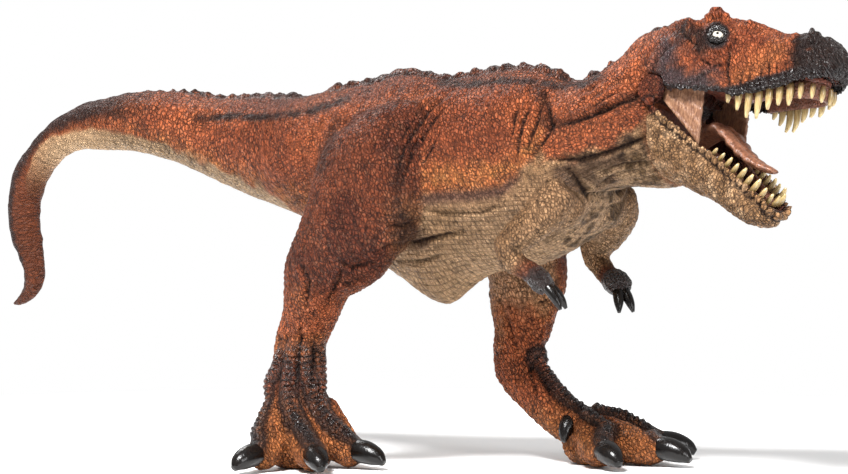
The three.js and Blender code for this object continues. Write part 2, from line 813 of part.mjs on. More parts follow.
function toe(root, yaw, reach, arch) {
  const ahead = heading(yaw);
  const length = reach * toe_length;
  const flesh_end = length - toe_claw_length * 0.82;
  const stations = toe_shares.map(([along, high, thick]) => ({
    at: root.clone()
      .addScaledVector(ahead, (along / toe_shares.at(-1)[0]) * flesh_end)
      .setZ((high + arch * Math.max(0, 0.5 - along)) * toe_thickness),
    wide: (thick * toe_thickness) / 2,
    up: (thick * toe_thickness) / 2,
    down: (thick * toe_thickness) / 2,
  }));
  const knuckle = root.clone().addScaledVector(ahead, flesh_end).setZ(toe_thickness * 0.45);
  return [
    skin(stations, { sides: 7, steps: 5, above: Z }),
    claw(knuckle, ahead, toe_claw_length, toe_claw_thickness, toe_thickness * 0.34),
  ];
}

function legPeg(foot, grow = 0) {
  const station = foot.shares[1];
  const inner = torso_width / 2 - peg_length - grow;
  const outer = torso_width / 2 + glue_gap + overrun;
  const x = station[0] * stride;
  const z = 0.94 * hip_height;
  return rod(
    new THREE.Vector3(x, foot.side * inner, z), new THREE.Vector3(x, foot.side * outer, z),
    peg_diameter / 2 + grow);
}

function leg(foot, body_clearance) {
  const stations = foot.shares.map(([ahead, out, up, wide, front, rear]) => ({
    at: new THREE.Vector3(ahead * stride, foot.side * out * leg_stance, up * hip_height),
    wide: (wide * thigh_width) / 2,
    up: (front * thigh_depth) / 2,
    down: (rear * thigh_depth) / 2,
    crown: 2.1,
    keel: 2.1,
  }));
  const limb = skin(stations, { sides: 12, steps: 18 });
  const ball = new THREE.Vector3(foot.ball[0] * stride, foot.side * foot.ball[1] * leg_stance, 0);
  const across = heading(foot.yaw + 90);
  const parts = [limb];
  parts.push(stud(
    ball.clone().setZ(0.4 * toe_thickness), 0.9 * toe_thickness, 0.95 * toe_thickness, 0.6 * toe_thickness,
    { around: 8, rows: 4, yaw: radians(foot.yaw) }));
  for (const [yaw, reach, place] of foot.toes) {
    parts.push(...toe(ball.clone().addScaledVector(across, place * toe_thickness), yaw, reach, foot.arch));
  }
  const heel_way = heading(foot.heel_yaw);
  const heel = ball.clone()
    .addScaledVector(heading(foot.yaw), -0.5 * toe_thickness)
    .addScaledVector(heel_way, 0.55 * toe_thickness)
    .setZ(toe_thickness * 1.1);
  parts.push(claw(heel, heel_way, heel_claw_length, toe_claw_thickness * 0.75, toe_thickness * 0.6));
  const above_ground = block(
    new THREE.Vector3(-torso_length, -torso_length, 0),
    new THREE.Vector3(torso_length, torso_length, 2 * hip_height));
  return joined(parts).intersect(above_ground).subtract(body_clearance).add(legPeg(foot));
}

// An arm's sections from the shoulder: ahead, out, up and thickness
const right_arm_shares = [
  [0.06, 0.72, 0.1, 1.1],
  [0.03, 0.9, -0.02, 1.15],
  [-0.13, 1.08, -0.185, 1.05],
  [-0.31, 1.18, -0.36, 0.86],
  [-0.25, 1.16, -0.48, 0.7],
  [-0.13, 1.08, -0.55, 0.62],
  [-0.045, 1, -0.64, 0.74],
  [0, 0.96, -0.73, 0.5],
];
const left_arm_shares = [
  [0.03, 0.72, 0.04, 1.15],
  [0.015, 0.9, -0.08, 1.3],
  [-0.15, 1.06, -0.27, 1.15],
  [-0.35, 1.12, -0.48, 0.86],
  [-0.25, 1.06, -0.59, 0.7],
  [-0.12, 0.9, -0.67, 0.64],
  [0.045, 0.74, -0.73, 0.78],
  [0.147, 0.66, -0.77, 0.5],
];
const arms = {
  right: { shares: right_arm_shares, side: -1, yaw: 15, spread: [-22, 14] },
  left: { shares: left_arm_shares, side: 1, yaw: -40, spread: [-16, 20] },
};
const shoulder_share = { along: 1.01, up: 0.45 };

function shoulder() {
  return new THREE.Vector3(
    tail_seam + shoulder_share.along * torso_length, 0, keel_height + shoulder_share.up * torso_depth);
}

function armPeg(which, grow = 0) {
  const from = shoulder();
  const [ahead, , up] = which.shares[2];
  const inner = 0.45 * arm_stance - grow;
  const outer = 0.92 * arm_stance;
  const x = from.x + ahead * arm_length;
  const z = from.z + up * arm_length;
  return rod(
    new THREE.Vector3(x, which.side * inner, z), new THREE.Vector3(x, which.side * outer, z),
    peg_diameter * 0.3 + grow, peg_sides);
}

function arm(which, clearance) {
  const from = shoulder();
  const stations = which.shares.map(([ahead, out, up, thick]) => ({
    at: new THREE.Vector3(
      from.x + ahead * arm_length, which.side * out * arm_stance, from.z + up * arm_length),
    wide: (thick * arm_thickness) / 2,
    up: (thick * arm_thickness) / 2,
    down: (thick * arm_thickness) / 2,
  }));
  const parts = [skin(stations, { sides: 10, steps: 12, across: Y })];
  const palm = stations.at(-2).at;
  for (const turn of which.spread) {
    const ahead = heading(which.yaw + turn).multiplyScalar(0.8).addScaledVector(Z, -0.6);
    const knuckle = palm.clone().addScaledVector(ahead, arm_thickness * 0.3);
    parts.push(claw(
      knuckle, ahead, hand_claw_length, hand_claw_thickness * 1.15, hand_claw_length * 0.25));
  }
  return joined(parts).subtract(clearance).add(armPeg(which));
}

// Finishes
const hide = finish(0x9a4a2c, 0.55);
const mouth_flesh = finish(0xa5655a, 0.4);
const ivory = finish(0xcdbb8c, 0.35);
const eyeball = finish(0xe8e4da, 0.2);
const pin_metal = finish(0x8b8d90, 0.35);

const whole_body = bodySkin();
const grown_body = bodySkin(glue_gap);

function torso() {
  const trunk = stretch(whole_body, tail_seam + glue_gap / 2, neck_seam - glue_gap / 2);
  const studs = ridge(tail_seam + overrun, neck_seam - overrun, back_stud_pitch, back_stud_height);
  const depth = spigot_length + glue_gap;
  const sockets = [
    seamPlug(torsoStations().at(-1), neck_seam - depth, neck_seam + overrun, glue_gap),
    seamPlug(torsoStations()[0], tail_seam - overrun, tail_seam + depth, glue_gap),
    legPeg(feet.right, glue_gap),
    legPeg(feet.left, glue_gap),
    armPeg(arms.right, glue_gap),
    armPeg(arms.left, glue_gap),
  ];
  return joined([trunk, ...studs]).subtract(joined(sockets));
}

function tail() {
  const reach = tail_seam - 2 * tail_reach;
  const length = stretch(whole_body, reach, tail_seam - glue_gap / 2);
  const plug = seamPlug(torsoStations()[0], tail_seam - overrun, tail_seam + spigot_length, 0);
  const studs = ridge(tail_seam - tail_reach * 0.8, tail_seam - overrun, tail_stud_pitch, tail_stud_height);
  return joined([length, plug, ...studs]);
}

const figure = new THREE.Group();
const limb_clearance = grown_body;
figure.add(piece("torso", torso(), hide));
figure.add(piece("tail", tail(), hide));
figure.add(piece("right_leg", leg(feet.right, limb_clearance), hide));
figure.add(piece("left_leg", leg(feet.left, limb_clearance), hide));
figure.add(piece("right_arm", arm(arms.right, limb_clearance), hide));
figure.add(piece("left_arm", arm(arms.left, limb_clearance), hide));

const head_group = new THREE.Group();
head_group.position.copy(hinge);
head_group.quaternion.setFromEuler(head_turn);
head_group.add(piece("head", head(whole_body), hide));
head_group.add(piece("palate", palate(), mouth_flesh));
head_group.add(piece("throat", throat(), mouth_flesh));
head_group.add(piece("upper_teeth", toothRow({
  shares: skull_shares, length: skull_length, width: skull_width, height: skull_height, lip_column: 3,
  from_share: upper_row_share, seat: palate_height, lengths: upper_tooth_shares,
  longest: longest_upper_tooth, down: -1,
}), ivory));
head_group.add(piece("right_cheek_web", cheekWeb(-1), mouth_flesh));
head_group.add(piece("left_cheek_web", cheekWeb(1), mouth_flesh));
for (const [name, side] of [["right_eye", -1], ["left_eye", 1]]) {
  head_group.add(piece(name, eye(side), eyeball));
}
head_group.add(piece("jaw_pin", pin(), pin_metal));
figure.add(head_group);

const jaw_group = new THREE.Group();
jaw_group.rotation.y = radians(jaw_gape);
jaw_group.add(piece("lower_jaw", lowerJaw(), hide));
jaw_group.add(piece("lower_teeth", toothRow({
  shares: jaw_shares, length: jaw_length, width: jaw_width, height: jaw_depth, lip_column: 2,
  from_share: lower_row_share, seat: gum_seat_depth, lengths: lower_tooth_shares,
  longest: longest_lower_tooth, down: 1,
}), ivory));
jaw_group.add(piece("tongue", tongue(), mouth_flesh));
head_group.add(jaw_group);

// The origin is on the ground, under the middle of the figure's box
figure.updateMatrixWorld(true);
const extent = new THREE.Box3().setFromObject(figure, true);
const centre = extent.getCenter(new THREE.Vector3());
figure.position.set(-centre.x, -centre.y, -extent.min.z);

export default figure;
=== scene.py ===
"""Looks of a moulded toy tyrannosaur: sculpted hide, claws, teeth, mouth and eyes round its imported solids."""
import json
import math
from collections import namedtuple

import bpy
import numpy as np
from mathutils import Matrix, Vector
from mathutils.bvhtree import BVHTree


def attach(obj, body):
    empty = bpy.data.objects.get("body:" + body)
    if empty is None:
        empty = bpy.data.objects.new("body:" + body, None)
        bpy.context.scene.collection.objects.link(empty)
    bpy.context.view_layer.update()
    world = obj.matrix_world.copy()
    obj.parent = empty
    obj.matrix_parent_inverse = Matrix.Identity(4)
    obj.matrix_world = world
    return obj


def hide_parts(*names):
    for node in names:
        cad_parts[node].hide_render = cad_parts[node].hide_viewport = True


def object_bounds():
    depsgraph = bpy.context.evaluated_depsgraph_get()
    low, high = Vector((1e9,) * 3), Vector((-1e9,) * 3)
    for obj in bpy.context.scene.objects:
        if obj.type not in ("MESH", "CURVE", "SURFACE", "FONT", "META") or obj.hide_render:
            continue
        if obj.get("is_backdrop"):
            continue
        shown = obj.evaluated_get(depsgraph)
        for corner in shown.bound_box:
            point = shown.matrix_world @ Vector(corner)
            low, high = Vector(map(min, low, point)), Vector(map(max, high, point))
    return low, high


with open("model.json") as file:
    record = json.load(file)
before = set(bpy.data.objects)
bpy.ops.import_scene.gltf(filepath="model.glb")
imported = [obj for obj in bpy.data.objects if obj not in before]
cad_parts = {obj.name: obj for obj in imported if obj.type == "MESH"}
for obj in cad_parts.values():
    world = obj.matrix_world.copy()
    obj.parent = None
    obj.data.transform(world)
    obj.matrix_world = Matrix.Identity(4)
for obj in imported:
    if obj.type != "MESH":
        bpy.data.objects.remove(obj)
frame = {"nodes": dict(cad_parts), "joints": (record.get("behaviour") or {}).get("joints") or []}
cad_low, cad_high = (list(corner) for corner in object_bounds())

MM = 0.001
UP, AHEAD = np.array([0.0, 0.0, 1.0]), np.array([1.0, 0.0, 0.0])
PICTURE_WIDTH, PICTURE_HEIGHT = 848, 474

# Sizes in millimetres and angles in degrees, as in the solids. ORIGIN is the floor below the hips.
HINGE = np.array(frame["joints"][0]["pos_m"]) / MM
HINGE_AHEAD = 91.5
ORIGIN = HINGE - np.array([HINGE_AHEAD, 0.0, HINGE[2]])
SKULL_LENGTH, JAW_LENGTH, JAW_WIDTH = 56.5, 52.5, 31.6
SKULL_TILT, SKULL_RISE, SKULL_TURN, JAW_GAPE = -15.0, 2.4, -8.0, 40.5
BOX_LOW, BOX_HIGH = np.array(cad_low) / MM, np.array(cad_high) / MM

# Further than anything, where the nearest of several is looked for
FAR_AWAY = 1e9

# The photograph's camera
CAMERA_AZIMUTH, CAMERA_ELEVATION, CAMERA_ROLL = 35.0, 3.0, 1.3
CAMERA_DISTANCE, CAMERA_HEIGHT, SENSOR_WIDTH = 1200.0, 68.0, 36.0
MM_PER_PIXEL = 0.3
ZOOM = CAMERA_DISTANCE / MM_PER_PIXEL


def turn(axis, degrees):
    """A rotation matrix about one of the frame's axes."""
    c, s = math.cos(math.radians(degrees)), math.sin(math.radians(degrees))
    i, j = [(1, 2), (2, 0), (0, 1)][axis]
    matrix = np.eye(3)
    matrix[i, i], matrix[i, j], matrix[j, i], matrix[j, j] = c, -s, s, c
    return matrix


# The head's and the jaw's own frames start at the hinge, with x ahead and z up
HEAD_TURN = turn(2, SKULL_TURN) @ turn(1, -SKULL_RISE) @ turn(0, SKULL_TILT)
JAW_TURN = HEAD_TURN @ turn(1, JAW_GAPE)
FAR_SIDE = np.array([1, -1, 1])


def from_head(points):
    return np.asarray(points, float) @ HEAD_TURN.T + HINGE


def to_head(points):
    return (points - HINGE) @ HEAD_TURN


def from_jaw(points):
    return np.asarray(points, float) @ JAW_TURN.T + HINGE


def to_jaw(points):
    return (points - HINGE) @ JAW_TURN


def camera_axes():
    """The camera's right, up and back directions, its roll included."""
    azimuth, elevation, roll = (math.radians(a) for a in (CAMERA_AZIMUTH, CAMERA_ELEVATION, CAMERA_ROLL))
    back = np.array([
        math.sin(azimuth) * math.cos(elevation),
        -math.cos(azimuth) * math.cos(elevation),
        math.sin(elevation),
    ])
    level = np.array([math.cos(azimuth), math.sin(azimuth), 0.0])
    upright = np.cross(back, level)
    right = level * math.cos(roll) - upright * math.sin(roll)
    up = level * math.sin(roll) + upright * math.cos(roll)
    return right, up, back


CAMERA_RIGHT, CAMERA_UP, CAMERA_BACK = camera_axes()
CAMERA_TARGET = np.array([ORIGIN[0], ORIGIN[1], CAMERA_HEIGHT])
CAMERA_PLACE = CAMERA_TARGET + CAMERA_BACK * CAMERA_DISTANCE


def project(points):
    """Where points in millimetres fall in the photograph, in pixels."""
    rays = points - CAMERA_PLACE
    depth = -(rays @ CAMERA_BACK)
    x = PICTURE_WIDTH / 2 + ZOOM * (rays @ CAMERA_RIGHT) / depth
    y = PICTURE_HEIGHT / 2 - ZOOM * (rays @ CAMERA_UP) / depth
    return np.stack([x, y], 1)


# Meshes as arrays

def node_arrays(name):
    """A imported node's vertices in millimetres and its triangles."""
    mesh = frame["nodes"][name].data
    mesh.calc_loop_triangles()
    points = np.empty(len(mesh.vertices) * 3)
    mesh.vertices.foreach_get("co", points)
    faces = np.empty(len(mesh.loop_triangles) * 3, np.int32)
    mesh.loop_triangles.foreach_get("vertices", faces)
    return points.reshape(-1, 3) / MM, faces.reshape(-1, 3)


def combine(parts):
    """Several meshes as one."""
    points, faces, start = [], [], 0
    for part_points, part_faces in parts:
        points.append(part_points)
        faces.extend((np.asarray(face) + start).tolist() for face in part_faces)
        start += len(part_points)
    return np.concatenate(points), faces


def mesh_object(name, points, faces):
    """A new object from points in millimetres."""
    mesh = bpy.data.meshes.new(name)
    if not isinstance(faces, np.ndarray):
        mesh.from_pydata((points * MM).tolist(), [], [list(face) for face in faces])
        mesh.update()
    else:
        count, sides = faces.shape
        mesh.vertices.add(len(points))
        mesh.vertices.foreach_set("co", (points * MM).astype(np.float32).ravel())
        mesh.loops.add(count * sides)
        mesh.loops.foreach_set("vertex_index", faces.astype(np.int32).ravel())
        mesh.polygons.add(count)
        mesh.polygons.foreach_set("loop_start", np.arange(0, count * sides, sides, dtype=np.int32))
        mesh.update(calc_edges=True)
        mesh.validate()
    thing = bpy.data.objects.new(name, mesh)
    bpy.context.scene.collection.objects.link(thing)
    return thing


def remesh(parts, voxel):
    """The parts as one skin of even quads."""
    points, faces = combine(parts)
    thing = mesh_object("work", points, faces)
    modifier = thing.modifiers.new("skin", "REMESH")
    modifier.mode = "VOXEL"
    modifier.voxel_size = voxel * MM
    modifier.adaptivity = 0
    depsgraph = bpy.context.evaluated_depsgraph_get()
    shape = thing.evaluated_get(depsgraph).to_mesh()
    points = np.empty(len(shape.vertices) * 3)
    shape.vertices.foreach_get("co", points)
    quads = np.empty(len(shape.loops), np.int32)
    shape.loops.foreach_get("vertex_index", quads)
    bpy.data.objects.remove(thing)
    return largest_shell(points.reshape(-1, 3) / MM, quads.reshape(-1, 4))


def edges_of(faces):
    """Each edge once, as a pair of vertices."""
    sides = faces.shape[1]
    pairs = np.concatenate([faces[:, [i, (i + 1) % sides]] for i in range(sides)])
    pairs.sort(axis=1)
    return np.unique(pairs, axis=0)


def largest_shell(points, faces):
    """The biggest connected shell, without the sealed ones inside it."""
    edges = edges_of(faces)
    label = np.arange(len(points))
    while True:
        low = np.minimum(label[edges[:, 0]], label[edges[:, 1]])
        np.minimum.at(label, edges[:, 0], low)
        np.minimum.at(label, edges[:, 1], low)
        label = label[label]
        if np.array_equal(label[edges[:, 0]], label[edges[:, 1]]):
            break
    names, counts = np.unique(label, return_counts=True)
    keep = label == names[counts.argmax()]
    index = np.cumsum(keep) - 1
    return points[keep], index[faces[keep[faces[:, 0]]]].astype(np.int32)


class Skin:
    """A quad mesh with what its sculpting needs."""

    def __init__(self, points, faces):
        self.points, self.faces = points, faces
        edges = edges_of(faces)
        both = np.concatenate([edges, edges[:, ::-1]])
        order = np.argsort(both[:, 0], kind="stable")
        self.neighbours = both[order, 1]
        self.degree = np.bincount(both[:, 0], minlength=len(points))
        self.starts = np.concatenate([[0], np.cumsum(self.degree)[:-1]])

    def mean(self, values):
        """The mean of the neighbours' values."""
        total = np.add.reduceat(values[self.neighbours], self.starts, axis=0)
        return total / (self.degree[:, None] if values.ndim == 2 else self.degree)

    def blur(self, values, times):
        """Values evened out with their neighbours' a number of times."""
        for _ in range(times):
            values = 0.5 * values + 0.5 * self.mean(values)
        return values

    def smooth(self, times, strength=1.0):
        """Laplacian smoothing that is held back where strength, one number a vertex, is low."""
        share = np.broadcast_to(strength, len(self.points))[:, None] * 0.5
        for _ in range(times):
            self.points = self.points + share * (self.mean(self.points) - self.points)

    def normals(self):
        """Each vertex's direction outward, by the area of the quads round it."""
        a, b, c, d = (self.points[self.faces[:, i]] for i in range(4))
        facing = np.cross(c - a, d - b)
        total = np.zeros_like(self.points)
        for axis in range(3):
            for corner in range(4):
                total[:, axis] += np.bincount(
                    self.faces[:, corner], weights=facing[:, axis], minlength=len(self.points))
        return total / np.maximum(np.linalg.norm(total, axis=1, keepdims=True), 1e-9)


# Noise, cells and strokes

HASH_FACTORS = (73856093, 19349663, 83492791, 2654435761)
HASH_MIXER = 1274126177
HASH_MASK = 0xFFFF


def lattice_hash(places, seed):
    """A number from 0 to 1 for each whole-number place."""
    mixed = seed * HASH_FACTORS[3]
    for axis in range(3):
        mixed = mixed ^ (places[:, axis].astype(np.int64) * HASH_FACTORS[axis])
    mixed = (mixed ^ (mixed >> 13)) * HASH_MIXER
    return ((mixed ^ (mixed >> 16)) & HASH_MASK) / HASH_MASK


def noise(points, size, seed=0):
    """Smooth noise from -1 to 1 with features of the given size."""
    scaled = points / size
    floor = np.floor(scaled)
    share = step(0, 1, scaled - floor)
    total = np.zeros(len(points))
    for corner in range(8):
        offset = np.array([corner & 1, (corner >> 1) & 1, corner >> 2])
        weight = np.prod(np.where(offset, share, 1 - share), axis=1)
        total += weight * lattice_hash(floor + offset, seed)
    return 2 * total - 1


def rough_noise(points, size, octaves=3, seed=0):
    """Noise with finer and weaker noise added to it."""
    return sum(noise(points, size / 2 ** i, seed + i) / 2 ** i for i in range(octaves))


def cell_rims(points, size, seed=0):
    """How far each place is from the rim of its cell, as a share of size. Cells grow round jittered seeds."""
    scaled = points / size
    first = np.full(len(points), FAR_AWAY)
    second = first
    for i in range(27):
        cell = np.floor(scaled) + np.array([i % 3, (i // 3) % 3, i // 9]) - 1
        jitter = np.stack([lattice_hash(cell, seed + k) for k in (1, 2, 3)], 1)
        gap = np.linalg.norm(cell + 0.15 + 0.7 * jitter - scaled, axis=1)
        second = np.where(gap < first, first, np.minimum(second, gap))
        first = np.minimum(first, gap)
    return second - first


def knobs_of(rims):
    """Round-topped scales from 0 in the rims to 1 on top."""
    return np.clip(rims * 1.6, 0, 1)


def step(low, high, value):
    """A smooth rise from 0 at low to 1 at high, or a fall where low is the greater."""
    share = np.clip((value - low) / (high - low), 0, 1)
    return share * share * (3 - 2 * share)


def line_distance(points, line):
    """Distance to a line of points, the share along it, and which side of it each point is on."""
    line = np.array(line, float)
    lengths = np.linalg.norm(np.diff(line, axis=0), axis=1)
    best = np.full(len(points), FAR_AWAY)
    along, side = np.zeros(len(points)), np.zeros(len(points))
    run = 0.0
    for a, b, length in zip(line[:-1], line[1:], lengths):
        way = b - a
        share = np.clip(((points - a) @ way) / length ** 2, 0, 1)
        off = points - a - share[:, None] * way
        gap = np.linalg.norm(off, axis=1)
        nearer = gap < best
        best[nearer] = gap[nearer]
        along[nearer] = (run + share[nearer] * length) / lengths.sum()
        if line.shape[1] == 2:
            side[nearer] = np.sign(way[0] * off[nearer, 1] - way[1] * off[nearer, 0])
        run += length
    return best, along, side


def lengths_along(line):
    """The length along a line at each of its points."""
    sides = np.linalg.norm(np.diff(np.array(line, float), axis=0), axis=1)
    return np.concatenate([[0], np.cumsum(sides)])


def highest_beside(values, edges):
    """For each vertex, the greatest value among its neighbours."""
    highest = np.full(len(values), -FAR_AWAY)
    np.maximum.at(highest, edges[:, 0], values[edges[:, 1]])
    np.maximum.at(highest, edges[:, 1], values[edges[:, 0]])
    return highest


def bell(gap, width):
    """1 where the gap is nothing, and fading to nothing over about two widths."""
    return np.exp(-(gap / width) ** 2)


def near_line(spots, line, width):
    """1 on a line, and fading away from it."""
    return bell(line_distance(spots, line)[0], width)


def polyline_value(points, x):
    """The height of a line of points at x."""
    points = np.array(points, float)
    return np.interp(x, points[:, 0], points[:, 1])


# A fold fades out over its window, in widths, and has a soft shoulder on each side
FOLD_WINDOW, SHOULDER_HEIGHT, SHOULDER_PLACE = 4, 0.35, 1.9
FOLD_END_SHARE = 0.04


def grooves(spots, strokes):
    """The height that folds drawn in the photograph's plane give: each is a line, its width and its depth."""
    height = np.zeros(len(spots))
    for line, width, depth in strokes:
        low = np.min(line, axis=0) - FOLD_WINDOW * width
        high = np.max(line, axis=0) + FOLD_WINDOW * width
        near = np.flatnonzero(np.all((spots > low) & (spots < high), axis=1))
        if not len(near):
            continue
        gap, along, _ = line_distance(spots[near], line)
        fade = np.sqrt(np.sin(np.pi * np.clip(along, FOLD_END_SHARE, 1 - FOLD_END_SHARE)))
        shoulder = SHOULDER_HEIGHT * bell(gap - SHOULDER_PLACE * width, width)
        height[near] -= depth * fade * (bell(gap, width) - shoulder)
    return height


def bumps(spots, places):
    """Rounded bumps drawn in the photograph's plane: each is a pixel, a radius in pixels and a height."""
    height = np.zeros(len(spots))
    for place, radius, rise in places:
        gap = np.linalg.norm(spots - place, axis=1) / radius
        height += rise * np.clip(1 - gap ** 2, 0, 1) ** 1.5
    return height


def beads(spots, line, pitch, radius, rise, lift=0.0):
    """Bumps evenly spaced along a line, or a few pixels above it."""
    line = np.array(line, float) - [0, lift]
    lengths = lengths_along(line)
    marks = np.arange(pitch / 2, lengths[-1], pitch)
    centres = np.stack([np.interp(marks, lengths, line[:, i]) for i in (0, 1)], 1)
    return bumps(spots, [(centre, radius, rise) for centre in centres])


def loft(path, wide, high, sides=16, rings=20, side_way=None):
    """A closed tube through a path of points, with half widths and half heights along it."""
    path, wide, high = np.array(path, float), np.array(wide, float), np.array(high, float)
    shares = np.linspace(0, len(path) - 1, rings)
    centre = np.stack([spline(path[:, i], shares) for i in range(3)], 1)
    widths, heights = spline(wide, shares), spline(high, shares)
    ahead = np.gradient(centre, axis=0)
    ahead /= np.linalg.norm(ahead, axis=1, keepdims=True)
    across = np.cross(UP, ahead) if side_way is None else np.tile(side_way, (rings, 1))
    across -= (across * ahead).sum(1, keepdims=True) * ahead
    across /= np.maximum(np.linalg.norm(across, axis=1, keepdims=True), 1e-9)
    rise = np.cross(ahead, across)
    angles = np.linspace(0, 2 * np.pi, sides, endpoint=False)
    rim = centre[:, None] + (
        np.cos(angles)[:, None] * (widths[:, None] * across)[:, None]
        + np.sin(angles)[:, None] * (heights[:, None] * rise)[:, None])
    points = np.concatenate([rim.reshape(-1, 3), centre[:1], centre[-1:]])
    faces = []
    start, end = rings * sides, rings * sides + 1
    for k in range(sides):
        after = (k + 1) % sides
        for i in range(rings - 1):
            a, b = i * sides + k, i * sides + after
            faces.append((a, b, b + sides, a + sides))
        faces.append((start, after, k))
        faces.append((end, start - sides + k, start - sides + after))
    return points, faces


def spline(values, places):
    """Catmull-Rom values at places counted in control points."""
    padded = np.concatenate([[2 * values[0] - values[1]], values, [2 * values[-1] - values[-2]]])
    i = np.clip(np.floor(places).astype(int), 0, len(values) - 2)
    t = places - i
    p0, p1, p2, p3 = (padded[i + k] for k in range(4))
    return 0.5 * (2 * p1 + (p2 - p0) * t + (2 * p0 - 5 * p1 + 4 * p2 - p3) * t ** 2
                  + (3 * p1 - p0 - 3 * p2 + p3) * t ** 3)


def colour(hex_code):
    """An sRGB colour such as A05032 in linear light."""
    values = np.array([int(hex_code[i:i + 2], 16) for i in (0, 2, 4)]) / 255
    return np.where(values < 0.04045, values / 12.92, ((values + 0.055) / 1.055) ** 2.4)


EYE_POWER = 0.45


def painted(tint, layers):
    """One colour a vertex, with others laid over it in turn by their shares, mixed as the eye sees them."""
    seen = tint ** EYE_POWER
    for layer, share in layers:
        seen = seen + (layer ** EYE_POWER - seen) * np.clip(share, 0, 1)[:, None]
    return seen ** (1 / EYE_POWER)


# Where the hide's forms and colours lie. Points in pixels follow the photograph, seen on the near side;
# the trunk, tail, neck and head carry them on the far side too, mirrored about their middle.

# The tail's middle line, in millimetres ahead of and above ORIGIN, and the half depths at its points
TAIL_LINE = [
    (-42.0, 92.2), (-65.0, 96.0), (-87.3, 100.8), (-104.0, 102.9), (-115.1, 102.9), (-126.2, 101.5),
    (-133.8, 99.2), (-140.8, 93.8), (-146.6, 87.4), (-149.6, 80.5), (-150.3, 73.5), (-149.5, 65.5),
    (-147.4, 58.4), (-147.5, 53.4), (-149.9, 49.0), (-153.5, 46.4), (-157.8, 44.9),
]
TAIL_HALF_DEPTHS = [19, 14.8, 11.4, 9.9, 8.6, 7.4, 6.4, 6.1, 6, 5.8, 5.4, 4.7, 3.9, 3.5, 2.7, 1.9, 0.6]
TAIL_LENGTH = 136.0
TRUNK_SPINE_HEIGHT, TRUNK_ROUND, LIMB_SIDE = 90.0, 26.0, 22.0
SPINE_PLACES, SPINE_HEIGHTS = [-40, 56, 91], [TRUNK_SPINE_HEIGHT, TRUNK_SPINE_HEIGHT, 102]

# The upper edge of the beige belly, and on the tail its height as a share of the half depth
BELLY_LINE = [
    (300, 215), (400, 207), (417, 196), (440, 192), (470, 191), (500, 187), (520, 172), (538, 155),
    (563, 153), (606, 148), (629, 131), (642, 119), (648, 96), (656, 84), (720, 80),
]
BELLY_DEPTH = 90
TAIL_BELLY_SHARES = [
    (0, -0.62), (0.25, -0.45), (0.42, -0.22), (0.52, 0.0), (0.62, 0.12), (0.7, -0.3), (0.76, -1.3),
]
BACK_STRIPES = [
    [(200, 117), (239, 116), (258, 118), (288, 114), (310, 111), (330, 104), (347, 98)],
    [(441, 84), (469, 84), (503, 81), (538, 82), (564, 86), (584, 84), (600, 76)],
]
# Dark lines along the folds of the neck and shoulder, behind the thigh and in the crease under the belly:
# painted shade
FOLD_SHADE_LINES = [
    [(585, 172), (600, 184), (612, 180)], [(590, 168), (620, 160)], [(405, 218), (420, 240)],
    [(560, 172), (572, 186)], [(541, 90), (545, 108), (548, 124)],
    [(551, 124), (572, 122), (606, 110), (632, 100), (649, 90)],
    [(568, 160), (590, 160), (612, 152), (630, 136)], [(320, 168), (328, 145), (337, 121)],
    [(400, 150), (398, 180), (396, 205)], [(398, 218), (403, 238), (420, 244)], [(569, 170), (580, 186)],
]

# Folds: a line, its width in pixels and its depth in millimetres
HIDE_FOLDS = [
    ([(452, 90), (434, 107), (417, 127), (405, 146), (399, 170), (397, 192)], 2.4, 1.0),
    ([(440, 95), (420, 113), (408, 129), (396, 150)], 1.9, 0.7),
    ([(441, 110), (426, 130), (412, 150), (405, 170), (401, 190)], 2.2, 0.9),
    ([(434, 124), (422, 141), (412, 157), (404, 181)], 1.8, 0.7),
    ([(440, 132), (430, 150), (419, 168)], 1.6, 0.5),
    ([(520, 101), (515, 119), (512, 139)], 2.2, 0.5),
    ([(533, 100), (524, 119), (519, 139), (517, 160)], 2.4, 0.7),
    ([(545, 93), (538, 119), (531, 136), (527, 152)], 2.6, 0.8),
    ([(545, 95), (549, 112), (551, 125), (544, 140), (536, 152)], 3.0, 1.0),
    ([(551, 124), (572, 122), (606, 110), (632, 100), (650, 89)], 3.2, 1.1),
    ([(551, 160), (581, 160), (607, 153), (641, 139), (658, 132)], 2.8, 0.9),
    ([(594, 174), (624, 165), (658, 162)], 2.6, 0.7),
    ([(598, 186), (615, 174), (650, 168)], 2.4, 0.6),
    ([(569, 170), (589, 196), (615, 193)], 3.0, 1.0),
    ([(556, 178), (566, 196), (580, 210)], 2.4, 0.6),
    ([(383, 246), (414, 244), (440, 236), (462, 232)], 3.0, 1.0),
    ([(392, 262), (420, 262), (445, 254)], 2.6, 0.6),
    ([(386, 226), (404, 226), (424, 218)], 2.6, 0.8),
    ([(417, 209), (445, 214), (480, 213), (505, 205)], 2.6, 0.4),
    ([(575, 96), (590, 88), (604, 80)], 2.2, 0.5),
    ([(588, 112), (602, 100), (618, 92)], 2.2, 0.5),
    ([(612, 118), (626, 108), (640, 104)], 2.2, 0.5),
]
LIMB_FOLDS = [
    ([(344, 265), (334, 290), (322, 312)], 2.6, 0.6),
    ([(300, 262), (308, 282), (306, 306)], 2.8, 0.8),
    ([(372, 262), (352, 268), (338, 262)], 2.4, 0.6),
    ([(366, 276), (350, 284), (336, 282)], 2.4, 0.6),
    ([(300, 330), (300, 360), (294, 390)], 2.4, 0.7),
    ([(316, 335), (312, 365), (310, 395)], 2.4, 0.6),
    ([(560, 290), (548, 300), (536, 304)], 2.2, 0.5),
    ([(500, 300), (510, 330), (520, 356)], 2.6, 0.5),
    ([(540, 352), (530, 372), (536, 392)], 2.4, 0.6),
]

